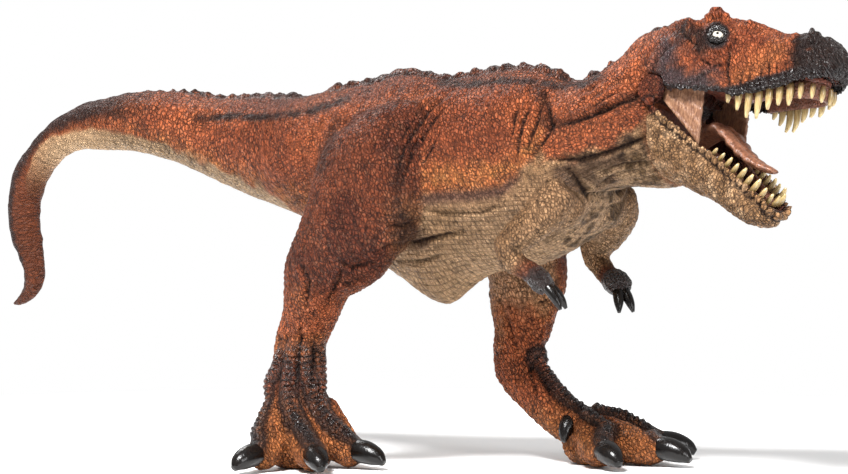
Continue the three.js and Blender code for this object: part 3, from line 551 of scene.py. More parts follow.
# Bumps: a pixel, a radius in pixels and a height in millimetres
BODY_BUMPS = [
    ((408, 92), 40.0, 2.3), ((372, 160), 44.0, 1.2), ((500, 105), 30.0, 0.8), ((546, 172), 18.0, 1.0),
    ((620, 105), 22.0, 0.8), ((330, 230), 20.0, 0.6), ((600, 215), 16.0, 0.8),
]

# The head's lines, folds and bumps
LIP_LINE = [
    (648, 86), (660, 91), (675, 96), (690, 99), (710, 99), (728, 98), (745, 95), (758, 91), (770, 88),
    (790, 82), (810, 79), (832, 80), (842, 82),
]
HEAD_FOLDS = [
    ([(731, 46), (728, 60), (727, 74), (730, 88)], 1.9, 0.8),
    ([(761, 66), (759, 84)], 1.6, 0.55), ([(769, 64), (768, 82)], 1.6, 0.55),
    ([(776, 63), (776, 80)], 1.6, 0.5), ([(785, 60), (786, 78)], 1.6, 0.5),
    ([(794, 58), (795, 76)], 1.6, 0.45), ([(750, 70), (748, 88)], 1.6, 0.5),
    ([(742, 72), (739, 90)], 1.6, 0.4), ([(700, 58), (712, 66), (726, 64)], 1.8, 0.5),
    ([(652, 78), (655, 62), (663, 50), (672, 42)], 2.4, 0.9),
    ([(676, 22), (684, 34), (694, 44), (700, 54)], 2.4, 0.7),
    ([(690, 84), (702, 74), (716, 70)], 2.0, 0.5),
]
HEAD_BUMPS = [
    ((716, 12), 7.0, 1.4), ((707, 17), 5.0, 0.8), ((726, 17), 5.0, 0.8), ((750, 24), 5.0, 1.0),
    ((742, 24), 4.0, 0.6), ((758, 29), 3.5, 0.5), ((689, 20), 5.0, 1.0), ((680, 24), 4.5, 0.9),
    ((672, 28), 4.0, 0.8), ((697, 24), 4.0, 0.7), ((700, 36), 4.0, 0.7), ((706, 58), 5.0, 0.9),
    ((698, 62), 4.0, 0.7), ((722, 60), 4.0, 0.7), ((734, 36), 4.0, 0.6), ((802, 29), 4.5, 0.7),
    ((812, 31), 4.0, 0.7), ((797, 33), 3.0, 0.4), ((820, 38), 3.5, 0.5), ((768, 42), 4.0, 0.4),
    ((780, 46), 4.0, 0.4), ((664, 60), 4.0, 0.5), ((659, 70), 4.0, 0.5), ((668, 82), 4.5, 0.6),
    ((680, 88), 4.5, 0.6),
]
EYE_PIXEL, NOSTRIL_PIXEL = (717.5, 36.5), (811, 41)
CHEEK_PATCH = [(666, 47), (656, 68), (668, 80), (690, 86), (706, 84)]
# A line through the hollow behind the eye, where painted shade is laid
EYE_HOLLOW_SHADE_LINE = [(682, 34), (690, 29), (698, 36), (702, 46)]
MUZZLE_PATCH = [(740, 76), (762, 66), (778, 50)]


# The hide: every moulded node as one skin, sculpted, then parted again

HIDE_NODES = ["torso", "tail", "right_leg", "left_leg", "right_arm", "left_arm", "head"]
HIDE_VOXEL = 0.5
SMOOTHING = 3.0

# Each foot's ball, heading and heel claw's heading, and for each toe its heading, reach and place across
FEET = {
    "right_leg": dict(
        ball=(-29.1, -24.25), yaw=-43, heel=60,
        toes=[(-93, 0.8, -0.5), (-43, 1, 0), (-5, 0.84, 0.5)]),
    "left_leg": dict(
        ball=(45.98, 21.0), yaw=-2, heel=-80,
        toes=[(-34, 0.86, -0.5), (-2, 1.16, 0), (30, 0.92, 0.5)]),
}
TOE_LENGTH, TOE_THICKNESS, CLAW_LENGTH, CLAW_THICKNESS, HEEL_CLAW_LENGTH = 29.0, 11.4, 12.0, 7.0, 7.0

# Each palm in arm lengths from its shoulder, and the headings of its two claws
HANDS = {
    "right_arm": dict(palm=(-0.045, -1.0, -0.64), yaw=15, spread=(-22, 14)),
    "left_arm": dict(palm=(0.045, 0.74, -0.73), yaw=-40, spread=(-16, 20)),
}
ARM_LENGTH, ARM_STANCE = 34.0, 21.0
SHOULDER = ORIGIN + np.array([56.98, 0.0, 78.765])
PALM_REACH, HAND_CLAW_LENGTH, HAND_CLAW_THICKNESS = 3.15, 7.0, 3.2

# A claw's curve, as shares of its length and of its drop, and its fullness at the same places
CLAW_CURVE = [(-0.25, -0.1), (0.05, -0.05), (0.4, 0.12), (0.75, 0.5), (1.0, 1.0)]
CLAW_FULLNESS_SHARES = np.array([0.95, 1.14, 1.12, 0.86, 0.34])

# Shares of a claw's length: how far it reaches back, what is left of the moulded one, and the rounder one
CLAW_SINK_SHARE, CLAW_KEPT_SHARE, CLAW_LENGTH_SHARE = 0.82, 0.5, 0.82
KNOB_RADIUS, LIP_HANG, FOLD_DEPTH, TENDON_PITCH = 2.1, 1.2, 1.3, 1.9

Claw = namedtuple("Claw", "root ahead length thickness drop")


def labels_of(points, names):
    """The node nearest each point."""
    parts = [node_arrays(name) for name in names]
    owners = np.concatenate([np.full(len(faces), i) for i, (_, faces) in enumerate(parts)])
    joined_points, joined_faces = combine(parts)
    tree = BVHTree.FromPolygons(joined_points.tolist(), joined_faces)
    return np.array([owners[tree.find_nearest(Vector(point))[2]] for point in points])


def heading(degrees):
    return np.array([math.cos(math.radians(degrees)), math.sin(math.radians(degrees)), 0.0])


def foot_claws(foot):
    """A claw at the end of each toe, and one at the heel."""
    ball = ORIGIN * [1, 1, 0] + np.array([*foot["ball"], 0.0])
    across = heading(foot["yaw"] + 90)
    claws = []
    for yaw, reach, place in foot["toes"]:
        end = reach * TOE_LENGTH - CLAW_SINK_SHARE * CLAW_LENGTH
        root = ball + across * place * TOE_THICKNESS + heading(yaw) * end + UP * 0.45 * TOE_THICKNESS
        claws.append(Claw(root, heading(yaw), CLAW_LENGTH, CLAW_THICKNESS, 0.34 * TOE_THICKNESS))
    back, out = -0.5 * heading(foot["yaw"]), 0.55 * heading(foot["heel"])
    root = ball + (back + out + UP * 1.1) * TOE_THICKNESS
    claws.append(Claw(
        root, heading(foot["heel"]), HEEL_CLAW_LENGTH, 0.75 * CLAW_THICKNESS, 0.6 * TOE_THICKNESS))
    return claws


def hand_claws(hand):
    """Two claws that point ahead and down from the palm."""
    palm = SHOULDER + np.array(hand["palm"]) * [ARM_LENGTH, ARM_STANCE, ARM_LENGTH]
    claws = []
    for spread in hand["spread"]:
        ahead = heading(hand["yaw"] + spread) * 0.8 - UP * 0.6
        root = palm + ahead * PALM_REACH
        claws.append(Claw(root, ahead, HAND_CLAW_LENGTH, HAND_CLAW_THICKNESS, 0.25 * HAND_CLAW_LENGTH))
    return claws


def claw_path(claw):
    """Points down the middle of a claw, from inside the toe to the tip."""
    ahead, down = claw.ahead * claw.length, UP * claw.drop
    return [claw.root + ahead * share - down * fall for share, fall in CLAW_CURVE]


CLAWS = {name: foot_claws(foot) for name, foot in FEET.items()}
CLAWS.update({name: hand_claws(hand) for name, hand in HANDS.items()})
ALL_CLAWS = [claw for claws in CLAWS.values() for claw in claws]


def draw_back(points):
    """The moulded claws pulled into the toes, so that the rounder claws laid over them cover them."""
    points = points.copy()
    for claw in ALL_CLAWS:
        axis = claw.ahead / np.linalg.norm(claw.ahead)
        near = line_distance(points, claw_path(claw))[0] < 0.95 * claw.thickness
        reach = (points - claw.root) @ axis / claw.length
        shift = np.where(near, np.clip(reach - 0.1, 0, 1.5) * (1 - CLAW_KEPT_SHARE), 0)[:, None]
        points += UP * shift * claw.drop - axis * shift * claw.length
    return points


# The ridge runs from a place behind ORIGIN to a place ahead of the hinge, within a width of the middle
RIDGE_START, RIDGE_END, RIDGE_HALF_WIDTH = -110, 4, 1.2
KNOB_SPACE, KNOB_RISE, KNOB_DROP = 5.0, 0.3, 1.5


def ridge_tips(name):
    """The tips of a moulded node's pointed knobs, along the middle of the back and neck."""
    points, faces = node_arrays(name)
    rise = points[:, 2]
    middle = (np.abs(points[:, 1] - ORIGIN[1]) < RIDGE_HALF_WIDTH) & (rise > TRUNK_SPINE_HEIGHT)
    between_ends = (to_head(points)[:, 0] <= RIDGE_END) & (points[:, 0] > ORIGIN[0] + RIDGE_START)
    stands_out = rise > highest_beside(rise, edges_of(faces)) + KNOB_RISE
    tips = []
    for peak in points[middle & between_ends & stands_out]:
        round_it = np.linalg.norm((points - peak)[:, :2], axis=1) < KNOB_SPACE
        if peak[2] > rise[round_it].max() - KNOB_DROP:
            tips.append(peak)
    return tips


def ridge_knobs():
    """Round knobs over the pointed ones."""
    girth = [KNOB_RADIUS * 0.9, KNOB_RADIUS, 0.8]
    knobs = []
    for name in ("torso", "tail", "head"):
        for tip in ridge_tips(name):
            path = [tip - UP * depth for depth in (3.2, 1.6, 0.2)]
            knobs.append(loft(path, girth, girth, 12, 8, AHEAD))
    return knobs


def shoulder_fillers():
    """Flesh that fills the crease between each upper arm and the chest."""
    fillers = []
    for side, ahead, drop in ((-1, 0.5, 0.0), (1, 0.0, -1.0)):
        inner = SHOULDER + [ahead, side * 8.0, 1.0 + drop]
        outer = SHOULDER + [ahead - 1.5, side * 19.5, -2.5 + drop]
        path = [inner, (inner + outer) / 2, outer]
        fillers.append(loft(path, [7.5, 7.0, 4.5], [8.5, 7.5, 4.5], 16, 12, AHEAD))
    return fillers


moulded = [node_arrays(name) for name in HIDE_NODES]
skin = Skin(*remesh(moulded + shoulder_fillers() + ridge_knobs(), HIDE_VOXEL))
label = labels_of(skin.points, HIDE_NODES)
part = {name: skin.blur((label == i).astype(float), 10) for i, name in enumerate(HIDE_NODES)}
legs = part["right_leg"] + part["left_leg"]
arms = part["right_arm"] + part["left_arm"]


def smoothing_strength(points, normals):
    """How far each place may be smoothed: the trunk most, the toes, head, ridge and claws least."""
    claw_gap = np.min([line_distance(points, claw_path(claw))[0] / claw.thickness for claw in ALL_CLAWS], 0)
    skull = step(-4, 6, to_head(points)[:, 0])
    small = np.clip(arms + skull * part["head"] + legs * step(34, 14, points[:, 2]), 0, 1)
    middle = step(4.5, 2.5, np.abs(points[:, 1] - ORIGIN[1])) * step(0.3, 0.6, normals[:, 2])
    ridge = middle * np.clip(part["torso"] + part["tail"] + part["head"] * (1 - skull), 0, 1)
    _, tail_share, _ = line_distance(np.stack([points[:, 0] - ORIGIN[0], points[:, 2]], 1), TAIL_LINE)
    strength = (1 - 0.85 * small) * (1 - 0.95 * ridge) * step(0.35, 0.8, claw_gap)
    strength = strength * (1 - 0.9 * part["tail"] * step(0.6, 0.85, tail_share))
    return skin.blur(strength, 4), claw_gap, skull * part["head"], ridge


SKULL_PLACE_SHARES = [0, 0.3, 0.56, 0.81, 0.91, 1.0]
SKULL_HALF_WIDTHS = [16.0, 15.8, 12.8, 10.2, 8.5, 4.5]

# How far the lips hang, as shares of LIP_HANG, at these pixels from the corner of the mouth to the nose
LIP_PIXELS, LIP_HANG_SHARES = [700, 735, 785, 815, 842], [0, 1, 0.9, 0.35, 0.1]


def hang_lips(points, skull_share):
    """The lips drawn down over the roots of the teeth."""
    place = to_head(points)
    flipped = np.where((place[:, 1] > 0)[:, None], from_head(place * FAR_SIDE), points)
    pixels = project(flipped)
    rise = polyline_value(LIP_LINE, pixels[:, 0]) - pixels[:, 1]
    along = np.interp(pixels[:, 0], LIP_PIXELS, LIP_HANG_SHARES)
    outward = np.abs(place[:, 1]) / lip_half_width(place[:, 0])
    rim = step(26, 8, rise) * step(-8, -2, place[:, 2]) * step(0.3, 0.62, outward)
    return points - (HEAD_TURN[:, 2] * LIP_HANG)[None] * (rim * along * skull_share)[:, None]


def lip_half_width(ahead):
    """Half the skull's width at a place ahead of the hinge."""
    return np.interp(ahead / SKULL_LENGTH, SKULL_PLACE_SHARES, SKULL_HALF_WIDTHS)


strength, claw_gap, skull, ridge = smoothing_strength(skin.points, skin.normals())
skin.points = draw_back(skin.points)
skin.smooth(int((2 * SMOOTHING / HIDE_VOXEL) ** 2), strength)
skin.points = hang_lips(skin.points, skull)
base = skin.points.copy()
facing = skin.normals()
head_place = to_head(base)


def mirrored_spots():
    """Each place's pixel, as if the figure's far side were its near side."""
    points = base.copy()
    body = (part["torso"] + part["tail"] + part["head"]) > 0.5
    far = body & (skull < 0.5) & (base[:, 1] > ORIGIN[1])
    points[far, 1] = 2 * ORIGIN[1] - points[far, 1]
    far = body & (skull >= 0.5) & (head_place[:, 1] > 0)
    points[far] = from_head(head_place[far] * FAR_SIDE)
    return project(points)


spots = mirrored_spots()
own_spots = project(base)
out_x = base[:, 0] - ORIGIN[0]
tail = part["tail"]
in_plane = np.stack([out_x, base[:, 2]], 1)
tail_gap, tail_along, tail_side = line_distance(in_plane, TAIL_LINE)
half_depth = np.interp(tail_along, lengths_along(TAIL_LINE) / TAIL_LENGTH, TAIL_HALF_DEPTHS)
tail_height = -tail_side * tail_gap / half_depth
neck = part["head"] * (1 - skull)
trunk = np.clip(part["torso"] + tail + neck, 0, 1)


def pattern_places():
    """Coordinates in millimetres that the scales follow: along and round the body, or plain on the limbs."""
    spine = np.interp(out_x, SPINE_PLACES, SPINE_HEIGHTS)
    side = np.abs(base[:, 1] - ORIGIN[1])
    around = np.arctan2(side, spine - base[:, 2]) * TRUNK_ROUND
    body = np.stack([out_x + 0.25 * (base[:, 2] - spine), around, 0 * side], 1)
    tail_around = np.arctan2(side, -tail_height * half_depth) * np.maximum(half_depth, 4)
    on_tail = np.stack([TAIL_LINE[0][0] - tail_along * TAIL_LENGTH, tail_around, 0 * side], 1)
    rise = base[:, 2] - TRUNK_SPINE_HEIGHT
    limb = np.stack([out_x + 0.25 * rise, rise + TRUNK_ROUND * np.pi / 2, side - LIMB_SIDE], 1)
    tail_share = step(-36, -56, out_x)[:, None]
    places = body + (on_tail - body) * tail_share
    limb_share = np.clip(1.4 * (legs + arms) - 0.2, 0, 1)[:, None]
    return places + (limb - places) * limb_share


lie = pattern_places()

# Masks, each from 0 to 1 at every vertex, and the pixel distances that they come from
wobble = rough_noise(base, 5, 3, 30)
belly_edge = polyline_value(BELLY_LINE, spots[:, 0])
belly = step(-5, 7, spots[:, 1] - belly_edge + (3 + 5 * step(500, 540, spots[:, 0])) * wobble) * (1 - tail)
tail_belly = step(0.1, -0.12, tail_height - polyline_value(TAIL_BELLY_SHARES, tail_along) + 0.14 * wobble)
belly = belly * trunk * (1 - skull) + tail_belly * tail
inward = np.where(part["left_leg"] > 0.3, -facing[:, 1], facing[:, 1])
inner_leg = legs * step(0.1, 0.6, inward) * step(34, 56, base[:, 2] + 6 * wobble)
belly = np.clip(belly + arms * 0.95 + 0.8 * inner_leg, 0, 1)

below_belly = np.clip((spots[:, 1] - belly_edge) / BELLY_DEPTH, 0, 1)
lip_rise = polyline_value(LIP_LINE, spots[:, 0]) - spots[:, 1]
eye_gap = np.linalg.norm(spots - EYE_PIXEL, axis=1)
head_facing = facing @ HEAD_TURN
side_facing = step(-0.2, 0.25, np.where(head_place[:, 1] > 0, 1, -1) * head_facing[:, 1])
lips = step(14, 10.5, lip_rise + 2.5 * wobble) * step(-14, -11, lip_rise)
lips = skull * lips * step(646, 656, spots[:, 0])

# Tendons down the feet, in pixels: each runs from the ankle to the root of a claw
TENDON_LINES = {
    "right_leg": [
        ([(281, 352), (268, 385), (255, 420)], 0), ([(292, 350), (288, 389), (296, 418)], 1),
        ([(304, 350), (314, 395), (328, 418)], 2), ([(320, 345), (322, 380), (321, 405)], None),
        ([(268, 372), (258, 400)], None),
    ],
    "left_leg": [
        ([(537, 358), (566, 396), (604, 424)], 0), ([(544, 357), (586, 402), (630, 416)], 1),
        ([(549, 356), (600, 396), (640, 408)], 2),
    ],
}


def cast(tree, pixel):
    """The place on the skin that a pixel of the photograph shows."""
    right, down = (pixel - np.array([PICTURE_WIDTH, PICTURE_HEIGHT]) / 2) / ZOOM
    ray = CAMERA_RIGHT * right - CAMERA_UP * down - CAMERA_BACK
    hit = tree.ray_cast(Vector(CAMERA_PLACE), Vector(ray))[0]
    return None if hit is None else np.array(hit)


def tendon_gaps():
    """How far each place is from the segmented tendons down each foot, and where along."""
    gap, along = np.full(len(base), FAR_AWAY), np.zeros(len(base))
    for name, lines in TENDON_LINES.items():
        mine = np.flatnonzero(part[name] > 0.4)
        faces = skin.faces[np.all(part[name][skin.faces] > 0.4, axis=1)]
        tree = BVHTree.FromPolygons(base.tolist(), faces.tolist())
        for pixels, claw in lines:
            pixels = [np.array(pixel, float) for pixel in pixels]
            if claw is not None:
                top = CLAWS[name][claw].root + UP * 0.5 * CLAWS[name][claw].thickness
                pixels.append(project(top[None])[0])
            shares = np.linspace(0, len(pixels) - 1, 24)
            track = np.stack([spline(np.array(pixels)[:, i], shares) for i in (0, 1)], 1)
            line = [place for place in (cast(tree, pixel) for pixel in track) if place is not None]
            if len(line) < 3:
                continue
            distance, share, _ = line_distance(base[mine], line)
            nearer = distance < gap[mine]
            gap[mine[nearer]] = distance[nearer]
            along[mine[nearer]] = share[nearer] * lengths_along(line)[-1]
    return gap, along


tendon_gap, tendon_along = tendon_gaps()
tendon_bands = np.abs(np.sin(np.pi * tendon_along / TENDON_PITCH)) ** 0.6


# Sizes and heights of rings round the body, wrinkles, scales and lumps, in millimetres
RING_SIZE, WRINKLE_SIZE, SCALE_SIZE, LUMP_SIZE = 2.1, 2.2, 1.7, 11
RING_HEIGHT, WRINKLE_HEIGHT, SCALE_HEIGHT, LUMP_HEIGHT = 0.2, 0.12, 0.26, 0.28
TENDON_WIDTH = 1.8


def tendon_relief():
    """Raised bands across a ridge down each toe, with a valley on each side."""
    return bell(tendon_gap, TENDON_WIDTH) * (0.8 + 0.9 * tendon_bands) - 0.8 * bell(tendon_gap - 3.9, 1.2)


def head_relief():
    """The skull's folds and knobs, two rows of beads along the lips, the sockets and the nostrils."""
    height = grooves(spots, HEAD_FOLDS)
    height += beads(spots, LIP_LINE, 5.6, 3.2, 0.75, 3.0) + beads(spots, LIP_LINE, 6.4, 3.2, 0.6, 8.5)
    height = height * side_facing + bumps(spots, HEAD_BUMPS)
    height += 0.7 * bell(eye_gap - 12.0, 3.0) - np.exp(-(eye_gap / 7.0) ** 4)
    return (height - 1.4 * bell(np.linalg.norm(spots - NOSTRIL_PIXEL, axis=1), 3.2)) * skull


def relief():
    """Folds, bumps and scales as one height in millimetres, kept off the claws."""
    height = FOLD_DEPTH * grooves(spots, HIDE_FOLDS) * (part["torso"] + neck + 0.6 * part["right_leg"])
    height += FOLD_DEPTH * grooves(own_spots, LIMB_FOLDS) * legs
    height += bumps(spots, BODY_BUMPS) * (part["torso"] + neck + legs)
    height += head_relief() + tendon_relief() * step(46, 36, base[:, 2])
    warp = lie + 0.5 * np.stack([noise(base, 4, seed) for seed in (41, 42, 43)], 1)
    height += RING_HEIGHT * noise(warp * [1, 0.35, 1], RING_SIZE, 50) * trunk * (1 - 0.6 * belly)
    height += WRINKLE_HEIGHT * noise(warp, WRINKLE_SIZE, 51)
    rims = cell_rims(warp * [1, 0.75, 1], SCALE_SIZE, 11)
    knobs = knobs_of(rims) - 0.5
    height += 0.3 * knobs * skull * step(786, 800, spots[:, 0])
    height += (SCALE_HEIGHT + 0.1 * legs + 0.14 * skull) * knobs * (1 - 0.4 * tail)
    height += LUMP_HEIGHT * rough_noise(base, LUMP_SIZE, 2, 20) * (1 - skull)
    height += ridge * (0.5 * rims - 0.1)
    return height * step(0.45, 0.95, claw_gap)


def wash_and_shade_of(shape, height, near, far):
    """How far each place lies below those near it and those further off, which sets how dark the hollows are
    painted: a dark wash, deepened as painted shade.

    Near is how often the height is blurred, the depth that counts as full, and its share. Far has no share.
    """
    (near_blur, near_depth, near_share), (far_blur, far_depth) = near, far
    hollow = np.clip((shape.blur(height, near_blur) - height) / near_depth, -1, 1)
    deep = np.clip((shape.blur(height, far_blur) - height) / far_depth, 0, 1)
    return np.clip(near_share * hollow + 0.8 * deep, -1, 1)


height = relief()
skin.points = base + facing * height[:, None]
# Darkness for the hollows of the relief: a dark wash, deepened as painted shade in the folds
wash_and_shade = wash_and_shade_of(skin, height, (3, 0.22, 0.55), (12, 0.7))


# Colours of the hide

TERRACOTTA, DEEP_RED, ORANGE = colour("C4683E"), colour("7C3A24"), colour("E09450")
DARK, PURPLE, OLIVE = colour("2C1A16"), colour("5E3C34"), colour("A0764E")
BEIGE, PALE, TAIL_RED, INK = colour("DCAC80"), colour("FAD4A8"), colour("6C3418"), colour("1C1213")
FLESH, SLATE, SOOT, OLIVE_SHADE = colour("6E3C30"), colour("483538"), colour("261612"), colour("6A5034")
CHIN, JAW_FLESH = colour("4A3424"), colour("6A3A32")


def coated(base_colour, count):
    """One colour at every vertex."""
    return np.tile(base_colour, (count, 1))


def belly_colours(blotch, fine):
    """Beige, paler underneath, clouded with olive and mottled on the chest and arms."""
    mottle = trunk * step(535, 580, spots[:, 0]) * step(-0.3, 0.6, wobble + fine) + 0.3 * arms
    return painted(coated(BEIGE, len(base)), [
        (OLIVE, 0.55 * blotch + 0.35 * step(40, 5, below_belly * BELLY_DEPTH)),
        (PALE, 0.5 * step(0.0, 0.8, -facing[:, 2]) + 0.25 * tail),
        (OLIVE_SHADE, 0.75 * np.clip(mottle, 0, 1) + 0.1),
    ])


def hide_layers(fine):
    """Red-brown above, beige below, painted shade in the folds, and dark along the back and on the feet."""
    x, y, rise = spots[:, 0], spots[:, 1], base[:, 2]
    blotch = step(-0.1, 0.7, rough_noise(base, 14, 3, 60))
    low_flank = bell(belly_edge - y - 14, 16) * part["torso"]
    low_tail = bell(tail_height - polyline_value(TAIL_BELLY_SHARES, tail_along) - 0.1, 0.2)
    orange = np.clip(low_flank + 0.7 * low_tail * tail * step(0.5, 0.3, tail_along), 0, 1)
    thigh = legs * step(48, 60, rise)
    thigh_front = part["right_leg"] * step(376, 408, x + 5 * fine) * step(180, 215, y) * step(325, 290, y)
    shin = legs * step(60, 45, rise) * step(-0.1, 0.6, noise(base, 9, 62))
    belly_band = bell(y - belly_edge - 5, 6) * step(400, 420, x) * step(530, 505, x)
    # Painted shade along the folds and in the creases
    dark_streak = sum(near_line(spots, line, 6) for line in FOLD_SHADE_LINES)
    dark_streak = np.clip(dark_streak + 0.5 * fine * (dark_streak > 0.05), 0, 1)
    stripe = sum(near_line(spots, line, 3.6) for line in BACK_STRIPES) * (trunk > 0.4)
    tail_tip = step(0.3, 0.6, tail_along) * tail * (1 - belly * step(0.75, 0.6, tail_along))
    tail_rim = step(-0.05, 0.35, tail_height + 0.15 * fine) * step(0.3, 0.5, tail_along) * tail
    low_foot = step(40, 33, rise) * legs
    scute_ink = np.clip(0.4 + 0.4 * step(26, 12, rise) + 0.3 * fine + 0.45 * (1 - tendon_bands), 0, 1)
    return [
        (DEEP_RED, 0.45 * blotch),
        (ORANGE, 0.75 * orange * (0.7 + 0.5 * fine)),
        (DEEP_RED, thigh * np.clip(0.5 + 0.6 * blotch, 0, 0.9)),
        (DARK, 0.2 * thigh),
        (OLIVE, 0.6 * thigh_front),
        (ORANGE, 0.35 * shin),
        (belly_colours(blotch, fine), belly),
        (PURPLE, 0.75 * belly_band * part["torso"]),
        # painted shade along the folds and creases
        (DARK, 0.45 * dark_streak * (1 - skull)),
        (DARK, np.clip(stripe * (1 + 0.7 * fine), 0, 0.9) * (1 - skull)),
        (TAIL_RED, 0.92 * tail_tip),
        (DARK, 0.3 * tail * step(0.5, 0.9, tail_along)),
        (DARK, 0.9 * tail_rim),
        (DARK, 0.85 * np.clip(ridge * (0.75 + 0.5 * fine), 0, 1)),
        (PURPLE, 0.35 * step(0.6, 1, facing[:, 2]) * trunk * (1 - skull)),
        (DEEP_RED, 0.3 * legs * step(40, 12, rise + 5 * wobble)),
        (ORANGE, 0.5 * legs * step(26, 8, rise + 3 * wobble)),
        (INK, low_foot * np.clip(1.2 * scute_share, 0, 1) * scute_ink),
        (INK, 0.75 * low_foot * bell(tendon_gap - 2.9, 0.9)),
        (DEEP_RED, 0.8 * arms * step(13, 8, hand_gap)),
        (INK, 0.85 * hands),
    ]


def head_layers(fine):
    """The head's paint: black lips, nose and lids, a dark cheek and an orange muzzle, and painted shade in the
    hollow behind the eye.
    """
    x, y = spots[:, 0], spots[:, 1]
    ahead, across, rise = head_place.T
    eye_hollow_shade = near_line(spots, EYE_HOLLOW_SHADE_LINE, 9)
    nose = step(787, 804, x + 9 * fine + 4 * wobble + 0.25 * (y - 45))
    under_jaw = step(112, 128, y) * step(720, 700, x)
    throat = painted(coated(BEIGE, len(base)), [(OLIVE, 0.55 + 0.5 * fine)])
    roof = step(-0.1, -0.5, head_facing[:, 2]) * step(-2.0, -5.0, lip_rise) * step(-12, -7, rise)
    inside = step(-2.0, -3.0, np.abs(across) - lip_half_width(ahead)) * step(9, 6, rise)
    inside = inside * step(2.0, 4.0, ahead) * step(0.95, 0.91, ahead / SKULL_LENGTH)
    return [
        (TERRACOTTA, 0.8 * skull),
        (DEEP_RED, skull * np.clip(0.35 + 0.5 * fine, 0, 0.7)),
        (ORANGE, 0.32 * near_line(spots, MUZZLE_PATCH, 12) * skull),
        (SLATE, 0.95 * np.clip(1.2 * cheek + 0.4 * fine * (cheek > 0.1), 0, 1) * skull),
        # painted shade in the hollow behind the eye
        (DARK, 0.85 * np.clip(eye_hollow_shade * (1.1 + 0.8 * fine), 0, 1) * skull),
        (SOOT, nose * skull),
        (INK, lips),
        (INK, step(15.5, 10.5, eye_gap + 2 * fine) * skull),
        (throat, under_jaw * skull),
        (FLESH, 0.92 * skull * np.clip(roof + inside, 0, 1)),
    ]


hand_claw_roots = [claw.root for name in HANDS for claw in CLAWS[name]]
hand_gap = np.min([np.linalg.norm(base - root, axis=1) for root in hand_claw_roots], 0)
hands = arms * step(8.5, 5.5, hand_gap)
scute_share = bell(tendon_gap, 2.1)
cheek = near_line(spots, CHEEK_PATCH, 13)
fine_noise = rough_noise(base, 2.5, 2, 61)
tints = painted(coated(TERRACOTTA, len(base)), hide_layers(fine_noise) + head_layers(fine_noise))
head_gloss = 0.6 * step(795, 810, spots[:, 0]) + 0.3 * step(15, 11, eye_gap) + 0.6 * cheek
gloss = np.clip(lips + skull * head_gloss + hands + 0.5 * ridge + legs * scute_share, 0, 1)
calm = np.clip(step(0.35, 0.6, tail_along) * tail + 0.4 * skull + 0.25 * belly, 0, 1)
scutes = belly * (1 - arms) * (1 - inner_leg) * step(0.0, 0.3, below_belly + 0.6 * tail)


# Finished pieces

def piece(name, body, slot, points, faces, material, replaces=(), normals=None, numbers=None):
    """A finished piece on its body, with the numbers that its material reads."""
    thing = mesh_object(name, points, faces)
    mesh = thing.data
    mesh.shade_smooth()
    for key, values in (numbers or {}).items():
        kind = "FLOAT" if values.ndim == 1 else "FLOAT_VECTOR"
        layer = mesh.attributes.new(key, kind, "POINT")
        layer.data.foreach_set("value" if values.ndim == 1 else "vector", values.astype(np.float32).ravel())
    if normals is not None:
        mesh.normals_split_custom_set_from_vertices(normals.tolist())
    mesh.materials.append(material)
    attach(thing, body)
    for node in replaces:
        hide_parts(node)
    return thing


def boundary_loops(faces):
    """The open rims of a patch, each a run of vertices in the order that a cap needs."""
    sides = np.concatenate([faces[:, [i, (i + 1) % 4]] for i in range(4)]).tolist()
    keys = {tuple(side) for side in sides}
    after = {}
    for a, b in sides:
        if (b, a) not in keys:
            after.setdefault(b, []).append(a)
    loops = []
    while after:
        here = next(iter(after))
        loop = []
        while here in after:
            loop.append(here)
            options = after[here]
            there = options.pop()
            if not options:
                del after[here]
            here = there
        loops.append(loop)
    return loops


def face_owner(labels, count):
    """One node for each face, its rim tidied by votes of the places round it."""
    weights = np.stack([skin.blur((labels == i).astype(float), 8) for i in range(count)], 1)
    return weights[skin.faces].mean(1).argmax(1)


def hide_patch(name, owner, index, normals, numbers):
    """One node's part of the hide, closed by a fan over each open rim."""
    faces = skin.faces[owner == index]
    used = np.unique(faces)
    place = np.full(len(skin.points), -1)
    place[used] = np.arange(len(used))
    faces = place[faces]
    points = skin.points[used]
    loops = [loop for loop in boundary_loops(faces) if len(loop) > 2]
    centres = np.array([points[loop].mean(0) for loop in loops]).reshape(-1, 3)
    fans = []
    for k, loop in enumerate(loops):
        fans.extend([a, b, len(points) + k] for a, b in zip(loop, loop[1:] + loop[:1]))
    closed = faces.tolist() + fans
    kept = np.concatenate([used, used[:1].repeat(len(loops))])
    values = {key: value[kept] for key, value in numbers.items()}
    shading = np.concatenate([normals[used], np.tile(UP, (len(loops), 1))])
    points = np.concatenate([points, centres])
    piece("hide_" + name, "figure", "hide", points, closed, HIDE, [name], shading, values)


# Materials

